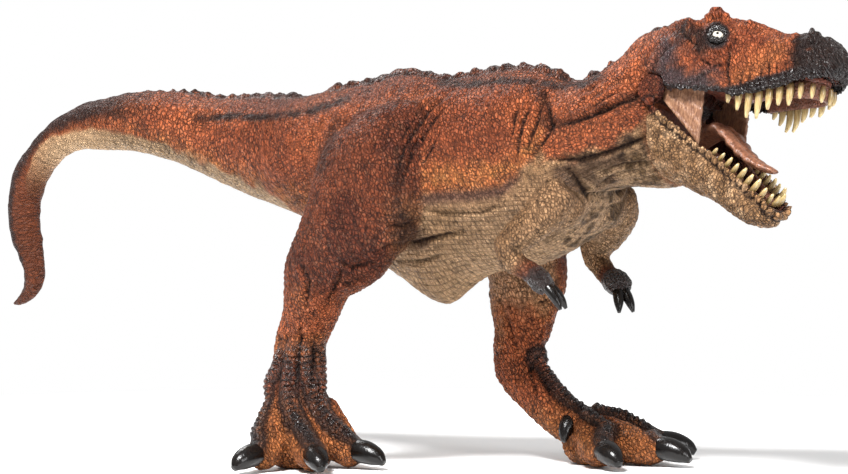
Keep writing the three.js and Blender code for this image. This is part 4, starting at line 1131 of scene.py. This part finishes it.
class Paint:
    """A material under construction. Its sizes are in millimetres."""

    def __init__(self, name, rough=0.5, coat=0.0, colour_value=(0.5, 0.5, 0.5)):
        self.material = bpy.data.materials.new(name)
        self.material.use_nodes = True
        self.tree = self.material.node_tree
        self.shader = self.tree.nodes["Principled BSDF"]
        self.shader.inputs["Base Color"].default_value = (*colour_value, 1)
        self.shader.inputs["Roughness"].default_value = rough
        self.shader.inputs["Coat Weight"].default_value = coat

    def node(self, kind, inputs=None, **settings):
        """A new node, its inputs set to numbers or linked to sockets."""
        made = self.tree.nodes.new("ShaderNode" + kind)
        for key, value in settings.items():
            setattr(made, key, value)
        for key, value in (inputs or {}).items():
            if isinstance(value, bpy.types.NodeSocket):
                self.tree.links.new(value, made.inputs[key])
            else:
                made.inputs[key].default_value = value
        return made

    def attribute(self, name, output="Fac"):
        return self.node("Attribute", attribute_name=name).outputs[output]

    def place(self):
        """The place on the object in millimetres."""
        return self.scaled(self.node("TexCoord").outputs["Object"], (1 / MM, 1 / MM, 1 / MM))

    def scaled(self, vector, factors):
        return self.node("VectorMath", {0: vector, 1: factors}, operation="MULTIPLY").outputs[0]

    def math(self, operation, a, b=0.0, clamp=False):
        return self.node("Math", {0: a, 1: b}, operation=operation, use_clamp=clamp).outputs[0]

    def times(self, a, b):
        return self.math("MULTIPLY", a, b)

    def plus(self, a, b):
        return self.math("ADD", a, b)

    def less(self, a, b):
        return self.math("SUBTRACT", a, b)

    def between(self, value, low, high, start=0.0, end=1.0):
        """Start at low, end at high and even steps between them."""
        ends = {"From Min": low, "From Max": high, "To Min": start, "To Max": end}
        return self.node("MapRange", {"Value": value, **ends}, clamp=True).outputs[0]

    def noise(self, vector, size, detail=3.0):
        return self.node("TexNoise", {"Vector": vector, "Scale": 1 / size, "Detail": detail}).outputs["Fac"]

    def warped(self, vector, size, reach):
        """Places pushed about by a cloud of the given size."""
        cloud = self.node("TexNoise", {"Vector": vector, "Scale": 1 / size, "Detail": 1.0}).outputs["Color"]
        centred = self.node("VectorMath", {0: cloud, 1: (0.5, 0.5, 0.5)}, operation="SUBTRACT").outputs[0]
        push = self.scaled(centred, (reach, reach, reach))
        return self.node("VectorMath", {0: vector, 1: push}, operation="ADD").outputs[0]

    def cells(self, vector, size, feature, output):
        return self.node("TexVoronoi", {"Vector": vector, "Scale": 1 / size}, feature=feature).outputs[output]

    def cell_edges(self, vector, size):
        return self.cells(vector, size, "DISTANCE_TO_EDGE", "Distance")

    def mix(self, share, a, b, mode="MIX"):
        """Colour b over colour a."""
        made = self.node("Mix", data_type="RGBA", blend_type=mode)
        for key, value in ((0, share), (6, a), (7, b)):
            if isinstance(value, bpy.types.NodeSocket):
                self.tree.links.new(value, made.inputs[key])
            else:
                made.inputs[key].default_value = value if key == 0 else (*value, 1)
        return made.outputs[2]

    def finish(self, base_colour=None, rough=None, bump=None, depth=0.3):
        """The material, with what the shader is given."""
        if base_colour is not None:
            self.tree.links.new(base_colour, self.shader.inputs["Base Color"])
        if rough is not None:
            self.tree.links.new(rough, self.shader.inputs["Roughness"])
        if bump is not None:
            made = self.node("Bump", {"Height": bump, "Distance": depth * MM, "Strength": 1.0})
            self.tree.links.new(made.outputs[0], self.shader.inputs["Normal"])
        return self.material


# Scales, the grain on them, the belly's plates and their grooves, in millimetres
SCALE_CELL, GRAIN_CELL, PLATE_WIDTH, PLATE_HEIGHT, PLATE_GROOVE = 0.95, 0.5, 1.55, 1.45, 0.28
PLATE_SHIFT_SHARE = 0.3
# The dark of the wash and of the painted shade in grooves and folds, and the pale of the dry-brushing
WASH_AND_SHADE, DUST = colour("1E100C"), colour("F0C8A0")


def hide_forms(paint, lie):
    """The height of the scales, the grain on them, and a tone for each scale."""
    tall = paint.scaled(paint.warped(lie, 3.0, 0.9), (1, 0.66, 1))
    pebble = paint.between(paint.cell_edges(tall, SCALE_CELL), 0.0, 0.2)
    grain = paint.between(paint.cell_edges(paint.warped(lie, 1.2, 0.5), GRAIN_CELL), 0.0, 0.22)
    plates = paint.node("TexBrick", {
        "Vector": paint.warped(lie, 5.0, 0.9), "Scale": 1.0, "Brick Width": PLATE_WIDTH,
        "Row Height": PLATE_HEIGHT, "Mortar Size": PLATE_GROOVE, "Mortar Smooth": 1.0,
        "Color1": (1, 1, 1, 1), "Color2": (1, 1, 1, 1), "Mortar": (0, 0, 0, 1),
    }, offset=PLATE_SHIFT_SHARE).outputs["Color"]
    plate = paint.times(plates, paint.between(grain, 0, 1, 0.55, 1.0))
    either = {0: paint.attribute("scute"), 2: pebble, 3: plate}
    scale = paint.node("Mix", either, data_type="FLOAT").outputs[0]
    tone = paint.node("SeparateColor", {0: paint.cells(tall, SCALE_CELL, "F1", "Color")}).outputs[0]
    return scale, grain, tone


def hide_paint():
    """Polygonal scales, squarer on the belly, darkened in the grooves and folds by a dark wash and painted
    shade, with light dry-brushed tops.
    """
    paint = Paint("hide_paint", 0.5)
    lie, tint = paint.attribute("lie", "Vector"), paint.attribute("tint", "Vector")
    gloss = paint.attribute("gloss")
    rugged = paint.less(1.0, paint.times(paint.attribute("calm"), 0.65))
    shine = paint.plus(paint.times(gloss, 0.5), 0.16)
    paint.tree.links.new(shine, paint.shader.inputs["Specular IOR Level"])
    scale, grain, tone = hide_forms(paint, lie)
    cloud, speck = paint.noise(lie, 6.0, 4.0), paint.noise(lie, 1.6, 4.0)
    strands = paint.noise(paint.scaled(paint.warped(lie, 3.0, 0.9), (1, 0.22, 1)), 1.1, 3.0)
    # Grooves between the scales, and below them the hollows of the folds: darkened by a dark wash with painted
    # shade
    groove = paint.less(1.0, paint.times(scale, paint.between(grain, 0, 1, 0.7, 1.0)))
    groove = paint.math("MULTIPLY", groove, paint.between(cloud, 0.3, 0.7, 0.5, 0.95), clamp=True)
    folds = paint.times(paint.between(paint.attribute("wash_and_shade"), 0.0, 0.8), 0.93)
    # Random tone, strands and specks, then the wash and painted shade of grooves and folds, laid over the tint
    worn_and_shaded = tint
    for share in (
            paint.times(paint.between(tone, 0.35, 0.95, 0.0, 0.26), rugged),
            paint.times(paint.between(strands, 0.5, 0.66, 0.0, 0.55), rugged),
            paint.times(groove, rugged),
            folds,
            paint.times(paint.between(speck, 0.54, 0.68, 0.0, 0.55), rugged)):
        worn_and_shaded = paint.mix(share, worn_and_shaded, WASH_AND_SHADE)
    tops = paint.times(paint.between(speck, 0.5, 0.3), paint.between(cloud, 0.35, 0.65, 0.1, 0.42))
    tops = paint.times(paint.times(tops, rugged), scale)
    tops = paint.times(tops, paint.less(1.0, paint.times(gloss, 0.85)))
    light = paint.mix(tops, worn_and_shaded, paint.mix(0.2, tint, DUST), "SCREEN")
    rough = paint.less(paint.between(speck, 0.3, 0.7, 0.42, 0.66), paint.times(gloss, 0.28))
    return paint.finish(light, rough, paint.plus(scale, paint.times(grain, 0.3)), 0.8)


def simple_paint(name, hex_codes, rough, coat=0.0, cell=0.0, streak=(1, 1, 1), depth=0.15, share=0.6,
                 shine=0.5, streaks=0.25):
    """One colour clouded by a darker one, with a fine grain or streaks."""
    light, dark = (colour(hex_code) for hex_code in hex_codes)
    paint = Paint(name, rough, coat)
    paint.shader.inputs["Specular IOR Level"].default_value = shine
    here = paint.place()
    cloud = paint.between(paint.noise(here, 3.0, 5.0), 0.35, 0.7, 0.0, share)
    grain = paint.noise(paint.scaled(here, streak), 0.6, 3.0)
    bump = grain
    if cell:
        bump = paint.plus(paint.between(paint.cell_edges(paint.warped(here, 2, 0.6), cell), 0.0, 0.3), grain)
    shade = paint.mix(paint.between(grain, 0.35, 0.62, streaks, 0.0), paint.mix(cloud, light, dark), dark)
    return paint.finish(shade, None, bump, depth)


def tooth_paint():
    """Ivory, browner where the tooth meets the gum."""
    ivory, root_brown, dark_streak = colour("C2AC78"), colour("4E341C"), colour("8A6A3C")
    paint = Paint("tooth_paint", 0.28, 0.3)
    streaks = paint.noise(paint.scaled(paint.place(), (1, 1, 0.25)), 0.5, 3.0)
    shade = paint.mix(paint.between(paint.attribute("root"), 0.05, 0.8, 0.0, 0.9), ivory, root_brown)
    shade = paint.mix(paint.between(streaks, 0.42, 0.62, 0.0, 0.6), shade, dark_streak)
    return paint.finish(shade, None, streaks, 0.08)


HIDE, TOOTH = hide_paint(), tooth_paint()
CLAW = simple_paint(
    "claw_paint", ("120E0C", "060404"), 0.24, streak=(1, 1, 0.3), depth=0.12, shine=0.35, streaks=0.5)
MOUTH = simple_paint(
    "mouth_paint", ("8A5040", "3A1C16"), 0.4, 0.1, streak=(0.4, 1, 1), depth=0.3, streaks=0.7)
TONGUE = simple_paint(
    "tongue_paint", ("9C6A50", "4A2C20"), 0.36, 0.12, streak=(1.2, 0.3, 1), depth=0.35, streaks=0.75)
WEB = simple_paint(
    "web_paint", ("A47A5C", "5A3424"), 0.4, 0.1, streak=(1.3, 1.3, 0.14), depth=0.5, streaks=0.85)
GUM = simple_paint("gum_paint", ("7C4C38", "3A2016"), 0.42, 0.05, cell=0.9, depth=0.25, streaks=0.6)
EYE = simple_paint("eye_paint", ("D8D0C2", "9C8C78"), 0.12, 0.3, depth=0.0, share=0.4)
PUPIL = simple_paint("pupil_paint", ("080606", "050404"), 0.4, depth=0.0, shine=0.15)
LID = simple_paint("lid_paint", ("140D0B", "080505"), 0.2, cell=0.5, depth=0.08, shine=0.4)
STEEL = simple_paint("steel_paint", ("8B8D90", "5E6063"), 0.35, streak=(1, 0.1, 1), depth=0.03)
STEEL.node_tree.nodes["Principled BSDF"].inputs["Metallic"].default_value = 1.0


# The hide's patches and the claws

BOX_CLEARANCE = 0.02
owner = face_owner(label, len(HIDE_NODES))
skin.points = np.clip(skin.points, BOX_LOW, BOX_HIGH)
shading = skin.normals()
hide_numbers = {"tint": tints, "lie": lie, "wash_and_shade": wash_and_shade, "gloss": gloss, "scute": scutes, "calm": calm}
for index, name in enumerate(HIDE_NODES):
    hide_patch(name, owner, index, shading, hide_numbers)

for name, claws in CLAWS.items():
    drop_share = 1.5 if name in HANDS else 0.8
    for k, claw in enumerate(claws):
        blunt = claw._replace(length=CLAW_LENGTH_SHARE * claw.length, drop=drop_share * claw.drop)
        girth = CLAW_FULLNESS_SHARES * claw.thickness / 2
        points, faces = loft(claw_path(blunt), girth * 0.92, girth * 0.86, 20, 28)
        points = np.clip(points, BOX_LOW + BOX_CLEARANCE, BOX_HIGH - BOX_CLEARANCE)
        piece(f"{name}_claw_{k}", "figure", "hide", points, faces, CLAW)


# The jaw, the mouth and its teeth

JAW_RIM = [
    (650, 92), (660, 104), (668, 115), (680, 123), (692, 132), (713, 155), (730, 170), (745, 183),
    (770, 205), (783, 212),
]
CHIN_LINE, CHIN_CORNER = [(784, 222), (772, 230), (762, 234), (745, 231)], [(772, 206), (782, 214)]
BEAD_SHIFT = np.array([-3.0, 5.5])
RIM_LIFT, EAR_RADIUS = 1.2, 8.4

ORGANIC = {
    "lower_jaw": (0.4, 0.7, 8), "palate": (0.45, 0.7, 6), "throat": (0.5, 0.5, 3), "tongue": (0.4, 0.6, 14),
    "right_cheek_web": (0.3, 0.5, 6), "left_cheek_web": (0.3, 0.5, 6),
}


def organic(name):
    """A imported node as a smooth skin."""
    voxel, quick_voxel, times = ORGANIC[name]
    made = Skin(*remesh([node_arrays(name)], voxel))
    made.smooth(times)
    return made


def finish_skin(made, name, body, slot, material, replaces, numbers=None):
    """A skin as a finished piece."""
    return piece(name, body, slot, made.points, made.faces, material, replaces, None, numbers)


def jaw_rise(place):
    """How near the rim a place of the jaw is, from 0 a few millimetres below it to 1 at its edge."""
    outward = np.abs(place[:, 1]) / (0.36 * JAW_WIDTH)
    return np.clip(1 - (-0.4 - place[:, 2]) / 5.0, 0, 1) * step(0.35, 0.6, outward)


def lower_jaw():
    """The lower jaw, pebbled, with knobs along its rim and a darker chin."""
    jaw = organic("lower_jaw")
    points, facing = jaw.points, jaw.normals()
    place, outward = to_jaw(points), facing @ JAW_TURN
    far = place[:, 1] > 0
    spots = project(np.where(far[:, None], from_jaw(place * FAR_SIDE), points))
    ahead_share = place[:, 0] / JAW_LENGTH
    sideways = np.where(far, 1, -1) * outward[:, 1] + step(0.72, 0.9, ahead_share) * outward[:, 0]
    outside = step(-0.2, 0.4, sideways - 0.6 * outward[:, 2])
    knobs = knobs_of(cell_rims(points + 0.5 * noise(points, 3, 4)[:, None], 2.2, 21)) - 0.5
    height = outside * (0.34 * knobs + 0.2 * rough_noise(points, 6, 2, 22))
    height += beads(spots, JAW_RIM + BEAD_SHIFT, 8.2, 5.2, 1.9) * outside
    rim = step(0.0, 0.4, jaw_rise(place)) * step(0.44, 0.56, ahead_share)
    jaw.points = points + facing * height[:, None] + JAW_TURN[:, 2] * (RIM_LIFT * rim)[:, None]
    fine = rough_noise(points, 3, 2, 23)
    ear = step(EAR_RADIUS, EAR_RADIUS - 1.8, np.linalg.norm(place[:, [0, 2]], axis=1))
    chin = near_line(spots, CHIN_LINE, 6) + near_line(spots, CHIN_CORNER, 5)
    tint = painted(coated(BEIGE, len(points)), [
        (OLIVE, 0.7 * step(0.6, -0.4, fine) + 0.15),
        (PALE, 0.35 * step(0.1, 0.8, fine)),
        (DEEP_RED, 0.95 * ear),
        (SLATE, 0.8 * ear * step(0.0, 0.5, fine)),
        (CHIN, 0.5 * np.clip(chin * (0.6 + fine), 0, 1)),
        (JAW_FLESH, 0.85 * step(0.6, 0.2, outside)),
    ])
    # Darkness for the jaw's hollows: a dark wash, deepened as painted shade
    wash_and_shade = wash_and_shade_of(jaw, height, (4, 0.2, 0.6), (16, 0.3))
    numbers = {"tint": tint, "lie": points, "wash_and_shade": wash_and_shade, "gloss": 0.4 * chin,
               "scute": np.zeros(len(points)), "calm": np.full(len(points), 0.15)}
    finish_skin(jaw, "lower_jaw_hide", "jaw", "hide", HIDE, ["lower_jaw"], numbers)


# Teeth start above this share of the tallest one and stand at least this far apart
TOOTH_START_SHARE, TOOTH_SPACE = 0.33, 2.4
TOOTH_SIDES, TOOTH_RINGS, GUM_HALF_WIDTH = 12, 14, 0.95


def tooth_tips(name, to_local, sign):
    """The tips of a row's teeth in its own frame, in order round the mouth, and the height of the gum."""
    points, faces = node_arrays(name)
    local = to_local(points)
    rise = local[:, 2] * sign
    order = np.flatnonzero(rise >= highest_beside(rise, edges_of(faces)) - 0.02)
    tips = []
    for i in order[np.argsort(-rise[order])]:
        clear = all(np.linalg.norm((local[i] - local[k])[:2]) > TOOTH_SPACE for k in tips)
        if rise[i] > TOOTH_START_SHARE * rise.max() and clear:
            tips.append(i)
    tips = local[tips]
    order = np.argsort(np.arctan2(tips[:, 1], tips[:, 0] - tips[:, 0].min() + 1))
    return tips[order], np.percentile(rise, 30)


def tooth_line(tip, gum_rise, sign):
    """A tooth's path from its root in the gum to its tip, curved back, and its half widths."""
    length = max(tip[2] * sign - gum_rise, 1.6)
    root = tip * [1, 1, 0] + [0, 0, sign * (gum_rise - 0.4)]
    out = np.array([0, np.sign(tip[1]), 0]) * 0.05 * length
    back = np.array([-0.1 * length, 0, 0])
    low = root * 0.6 + tip * 0.4 - back * 0.5 + out
    high = root * 0.25 + tip * 0.75 - back * 0.4 + out
    girth = np.clip(0.13 * length + 0.3, 0.62, 1.05) * np.array([0.95, 1.0, 0.8, 0.34])
    return [root, low, high, tip + back * 0.1], girth


def tooth_row(name, body, to_local, from_local, sign, long_shares, gum_half_height):
    """A row of round curved teeth, with a band of gum behind them."""
    tips, gum_rise = tooth_tips(name, to_local, sign)
    long_shares = np.concatenate([long_shares, long_shares[::-1]])
    places = np.linspace(0, 1, len(long_shares))
    parts, band = [], []
    for tip, long_share in zip(tips, np.interp(np.linspace(0, 1, len(tips)), places, long_shares)):
        line, girth = tooth_line(tip * [1, 1, long_share], gum_rise, sign)
        parts.append(loft(from_local(line), girth, girth, TOOTH_SIDES, TOOTH_RINGS))
        inward = [-0.9, -1.3 * np.clip(tip[1] / 3, -1, 1), sign * (gum_half_height - 1.3)]
        band.append(line[0] + inward)
    root_share = np.repeat(np.linspace(1, 0, TOOTH_RINGS) ** 1.6, TOOTH_SIDES)
    numbers = {"root": np.tile(np.concatenate([root_share, [1, 0]]), len(parts))}
    piece(name + "_ivory", body, "teeth", *combine(parts), TOOTH, [name], None, numbers)
    upright = HEAD_TURN[:, 2] if sign < 0 else JAW_TURN[:, 2]
    wide, high = np.full(len(band), gum_half_height), np.full(len(band), GUM_HALF_WIDTH)
    points, faces = loft(from_local(band), wide, high, 16, 6 * len(band), upright)
    piece(name + "_gum", body, "teeth", points, faces, GUM, [name])


# How far apart the palate's ridges and the tongue's wrinkles are, in millimetres
RIDGE_PITCH, WRINKLE_PITCH = 3.6, 4.2

# Where the webs' folds fan out from, ahead of the hinge and above it
FAN_CENTRE, FAN_RADIUS = (-6, 5), 26


def mouth():
    """The ridged palate, the throat, the folded webs at the corners and the creased tongue."""
    roof = organic("palate")
    facing = roof.normals()
    place = to_head(roof.points)
    ridges = np.sin(place[:, 0] * 2 * np.pi / RIDGE_PITCH + 0.3 * np.abs(place[:, 1]))
    ridges = ridges * step(0, -0.4, (facing @ HEAD_TURN)[:, 2])
    roof.points = roof.points + facing * (0.22 * ridges)[:, None]
    finish_skin(roof, "palate_flesh", "figure", "mouth_lining", MOUTH, ["palate"])
    finish_skin(organic("throat"), "throat_flesh", "figure", "mouth_lining", MOUTH, ["throat"])
    for side in ("right", "left"):
        web = organic(side + "_cheek_web")
        place = to_head(web.points)
        fan = np.arctan2(place[:, 2] - FAN_CENTRE[1], place[:, 0] - FAN_CENTRE[0]) * FAN_RADIUS
        folds = 0.16 * noise(np.stack([fan, fan * 0, place[:, 0] * 0.12], 1), 1.1, 7)
        web.points = web.points + web.normals() * folds[:, None]
        finish_skin(web, side + "_cheek_membrane", "figure", "mouth_lining", WEB, [side + "_cheek_web"])
    tongue = organic("tongue")
    place = to_jaw(tongue.points)
    facing = tongue.normals()
    crease = -0.5 * bell(place[:, 1], 0.9) * step(0.2, 0.8, (facing @ JAW_TURN)[:, 2])
    wave = 0.25 * np.sin(place[:, 0] * 2 * np.pi / WRINKLE_PITCH) * bell(np.abs(place[:, 1]) - 4.2, 1.8)
    tongue.points = tongue.points + facing * (crease + wave)[:, None]
    finish_skin(tongue, "tongue_flesh", "jaw", "mouth_lining", TONGUE, ["tongue"])


# The right eye faces, runs and is shifted these ways in the head's frame. The left one mirrors it.
EYE_FACING, EYE_ALONG = np.array([0.42, -0.9, 0.1]), np.array([0.9, 0.42, -0.12])
EYE_SHIFT, EYE_SINK = np.array([0.9, 0, 0.3]), 0.1
EYE_RADIUS, EYE_OPEN, PUPIL_RADIUS, PUPIL_LIFT = 1.9, (1.1, 0.72), 0.42, 0.2
LID_THICKNESS, LID_PLACE = 1.0, 0.95
BALL_REACH_SHARES = np.array([-1.0, -0.75, 0.0, 0.75, 1.0])
BALL_GIRTH_SHARES = np.array([0.12, 0.66, 1.0, 0.66, 0.12])
PUPIL_GIRTH_SHARES = np.array([1.0, 1.0, 0.4])


def eyes():
    """Eyeballs with small pupils between thick glossy lids."""
    for name, mirror, side in (("right_eye", 1, -1), ("left_eye", FAR_SIDE, 1)):
        outward = HEAD_TURN @ (EYE_FACING * mirror)
        outward /= np.linalg.norm(outward)
        along = HEAD_TURN @ (EYE_ALONG * mirror)
        along -= outward * (along @ outward)
        along /= np.linalg.norm(along)
        rise = np.cross(along, outward) * side
        centre = node_arrays(name)[0].mean(0) - outward * EYE_SINK + HEAD_TURN @ EYE_SHIFT
        reach, girth = BALL_REACH_SHARES * EYE_RADIUS, BALL_GIRTH_SHARES * EYE_RADIUS
        ball, faces = loft(centre + outward * reach[:, None], girth, girth, 24, 24)
        piece(name + "_ball", "figure", "eyes", ball, faces, EYE, [name])
        start = centre + outward * (EYE_RADIUS - 0.03) + HEAD_TURN[:, 2] * PUPIL_LIFT
        girth = PUPIL_GIRTH_SHARES * PUPIL_RADIUS
        dot, faces = loft([start - outward * 0.4, start, start + outward * 0.2], girth, girth, 16, 8)
        piece(name + "_pupil", "figure", "eyes", dot, faces, PUPIL)
        lid, faces = ring(centre + outward * LID_PLACE, along, rise, outward)
        piece(name + "_lids", "figure", "hide", lid, faces, LID)


def ring(centre, along, rise, outward, sides=12, steps=40):
    """An almond-shaped ring of lid round the eye, thicker above and below, with its corners set back."""
    turns = np.linspace(0, 2 * np.pi, steps, endpoint=False)
    rounds = np.linspace(0, 2 * np.pi, sides, endpoint=False)
    c, s = np.cos(turns)[:, None], np.sin(turns)[:, None]
    thick = LID_THICKNESS * (1 + 0.25 * np.abs(s) + 0.08 * np.cos(9 * turns)[:, None])
    rim = c * (EYE_OPEN[0] + LID_THICKNESS) * along + s * (EYE_OPEN[1] + LID_THICKNESS) * rise
    rim = rim * (1 + 0.1 * c ** 4) - outward * (0.55 * c ** 2)
    spoke = c * along + s * rise
    points = centre + rim[:, None] + (
        (np.cos(rounds)[None] * thick)[:, :, None] * spoke[:, None]
        + (np.sin(rounds)[None] * thick)[:, :, None] * outward)
    faces = []
    for i in range(steps):
        here, after = i * sides, (i + 1) % steps * sides
        for k in range(sides):
            beside = (k + 1) % sides
            faces.append((here + k, here + beside, after + beside, after + k))
    return points.reshape(-1, 3), faces


# How long the teeth are, from each corner of the mouth to the front, as shares of the moulded ones
UPPER_LENGTH_SHARES = [0.6, 0.8, 1.0, 0.98, 0.72, 0.7, 0.95, 0.8, 0.85, 1.1]
LOWER_LENGTH_SHARES = [0.7, 0.75, 0.85, 0.8, 0.9, 0.85, 0.95, 0.85, 0.9]
lower_jaw()
tooth_row("upper_teeth", "figure", to_head, from_head, -1, UPPER_LENGTH_SHARES, 2.6)
tooth_row("lower_teeth", "jaw", to_jaw, from_jaw, 1, LOWER_LENGTH_SHARES, 1.1)
mouth()
eyes()
pin = frame["nodes"]["jaw_pin"].data
pin.materials.clear()
pin.materials.append(STEEL)


# Camera, light and floor

LAMP_AIM = (0, 0, 0.06)
WORLD_LIGHT = 0.4
FLOOR_DROP, FLOOR_HALF_WIDTH = 0.2, 3000.0
WHITE_START, WHITE_END = 150.0, 330.0


def add_camera():
    """The photograph's camera."""
    data = bpy.data.cameras.new("camera")
    data.sensor_width = SENSOR_WIDTH
    data.lens = ZOOM * SENSOR_WIDTH / PICTURE_WIDTH
    data.clip_end = 20
    thing = bpy.data.objects.new("camera", data)
    matrix = np.eye(4)
    matrix[:3, 0], matrix[:3, 1], matrix[:3, 2] = CAMERA_RIGHT, CAMERA_UP, CAMERA_BACK
    matrix[:3, 3] = CAMERA_PLACE * MM
    thing.matrix_world = Matrix(matrix.tolist())
    bpy.context.scene.collection.objects.link(thing)
    bpy.context.scene.camera = thing


def add_lamp(name, place, size, power):
    """A soft round lamp aimed at the figure, its place and size in metres."""
    data = bpy.data.lights.new(name, "AREA")
    data.shape = "DISK"
    data.size = size
    data.energy = power
    thing = bpy.data.objects.new(name, data)
    thing.location = place
    thing.rotation_euler = (Vector(LAMP_AIM) - Vector(place)).to_track_quat("-Z", "Y").to_euler()
    bpy.context.scene.collection.objects.link(thing)


def white_to_camera(tree, surface, output):
    """White to the camera, and the given surface for all other light."""
    path = tree.nodes.new("ShaderNodeLightPath")
    white = tree.nodes.new("ShaderNodeBackground")
    white.inputs["Color"].default_value = (1, 1, 1, 1)
    mix = tree.nodes.new("ShaderNodeMixShader")
    tree.links.new(path.outputs["Is Camera Ray"], mix.inputs[0])
    tree.links.new(surface, mix.inputs[1])
    tree.links.new(white.outputs[0], mix.inputs[2])
    tree.links.new(mix.outputs[0], output)


def floor_paint():
    """Pale and matt round the object, and plain white further off."""
    paint = Paint("floor_paint", 0.9, 0.0, (0.93, 0.93, 0.93))
    here = paint.node("SeparateXYZ", {0: paint.place()})
    across = paint.times(here.outputs[0], here.outputs[0])
    deep = paint.times(here.outputs[1], here.outputs[1])
    gap = paint.math("SQRT", paint.plus(across, paint.times(deep, 2.0)))
    path = paint.node("LightPath").outputs["Is Camera Ray"]
    share = paint.times(paint.between(gap, WHITE_START, WHITE_END), path)
    white = paint.node("Emission", {"Color": (1, 1, 1, 1), "Strength": 1.0})
    mixed = paint.node("MixShader", {0: share, 1: paint.shader.outputs[0], 2: white.outputs[0]})
    paint.tree.links.new(mixed.outputs[0], paint.tree.nodes["Material Output"].inputs["Surface"])
    return paint.material


def add_floor():
    """The studio's floor, a little below the feet."""
    corners = np.array([(-1, -1, 0), (1, -1, 0), (1, 1, 0), (-1, 1, 0)])
    points = corners * FLOOR_HALF_WIDTH - UP * FLOOR_DROP
    floor = mesh_object("floor", points, [(0, 1, 2, 3)])
    floor.data.materials.append(floor_paint())
    floor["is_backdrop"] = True


def add_world():
    """Soft white light from everywhere."""
    world = bpy.data.worlds.new("studio")
    world.use_nodes = True
    tree = world.node_tree
    light = tree.nodes["Background"]
    light.inputs["Color"].default_value = (1, 1, 1, 1)
    light.inputs["Strength"].default_value = WORLD_LIGHT
    white_to_camera(tree, light.outputs[0], tree.nodes["World Output"].inputs["Surface"])
    bpy.context.scene.world = world


add_camera()
add_floor()
add_lamp("key", (0.1, -0.75, 1.3), 0.45, 50)
add_lamp("side", (1.3, -0.45, 0.55), 0.5, 8)
add_lamp("rim", (-0.9, 0.5, 0.9), 0.5, 7)
add_world()
bpy.context.scene.view_settings.view_transform = "Standard"
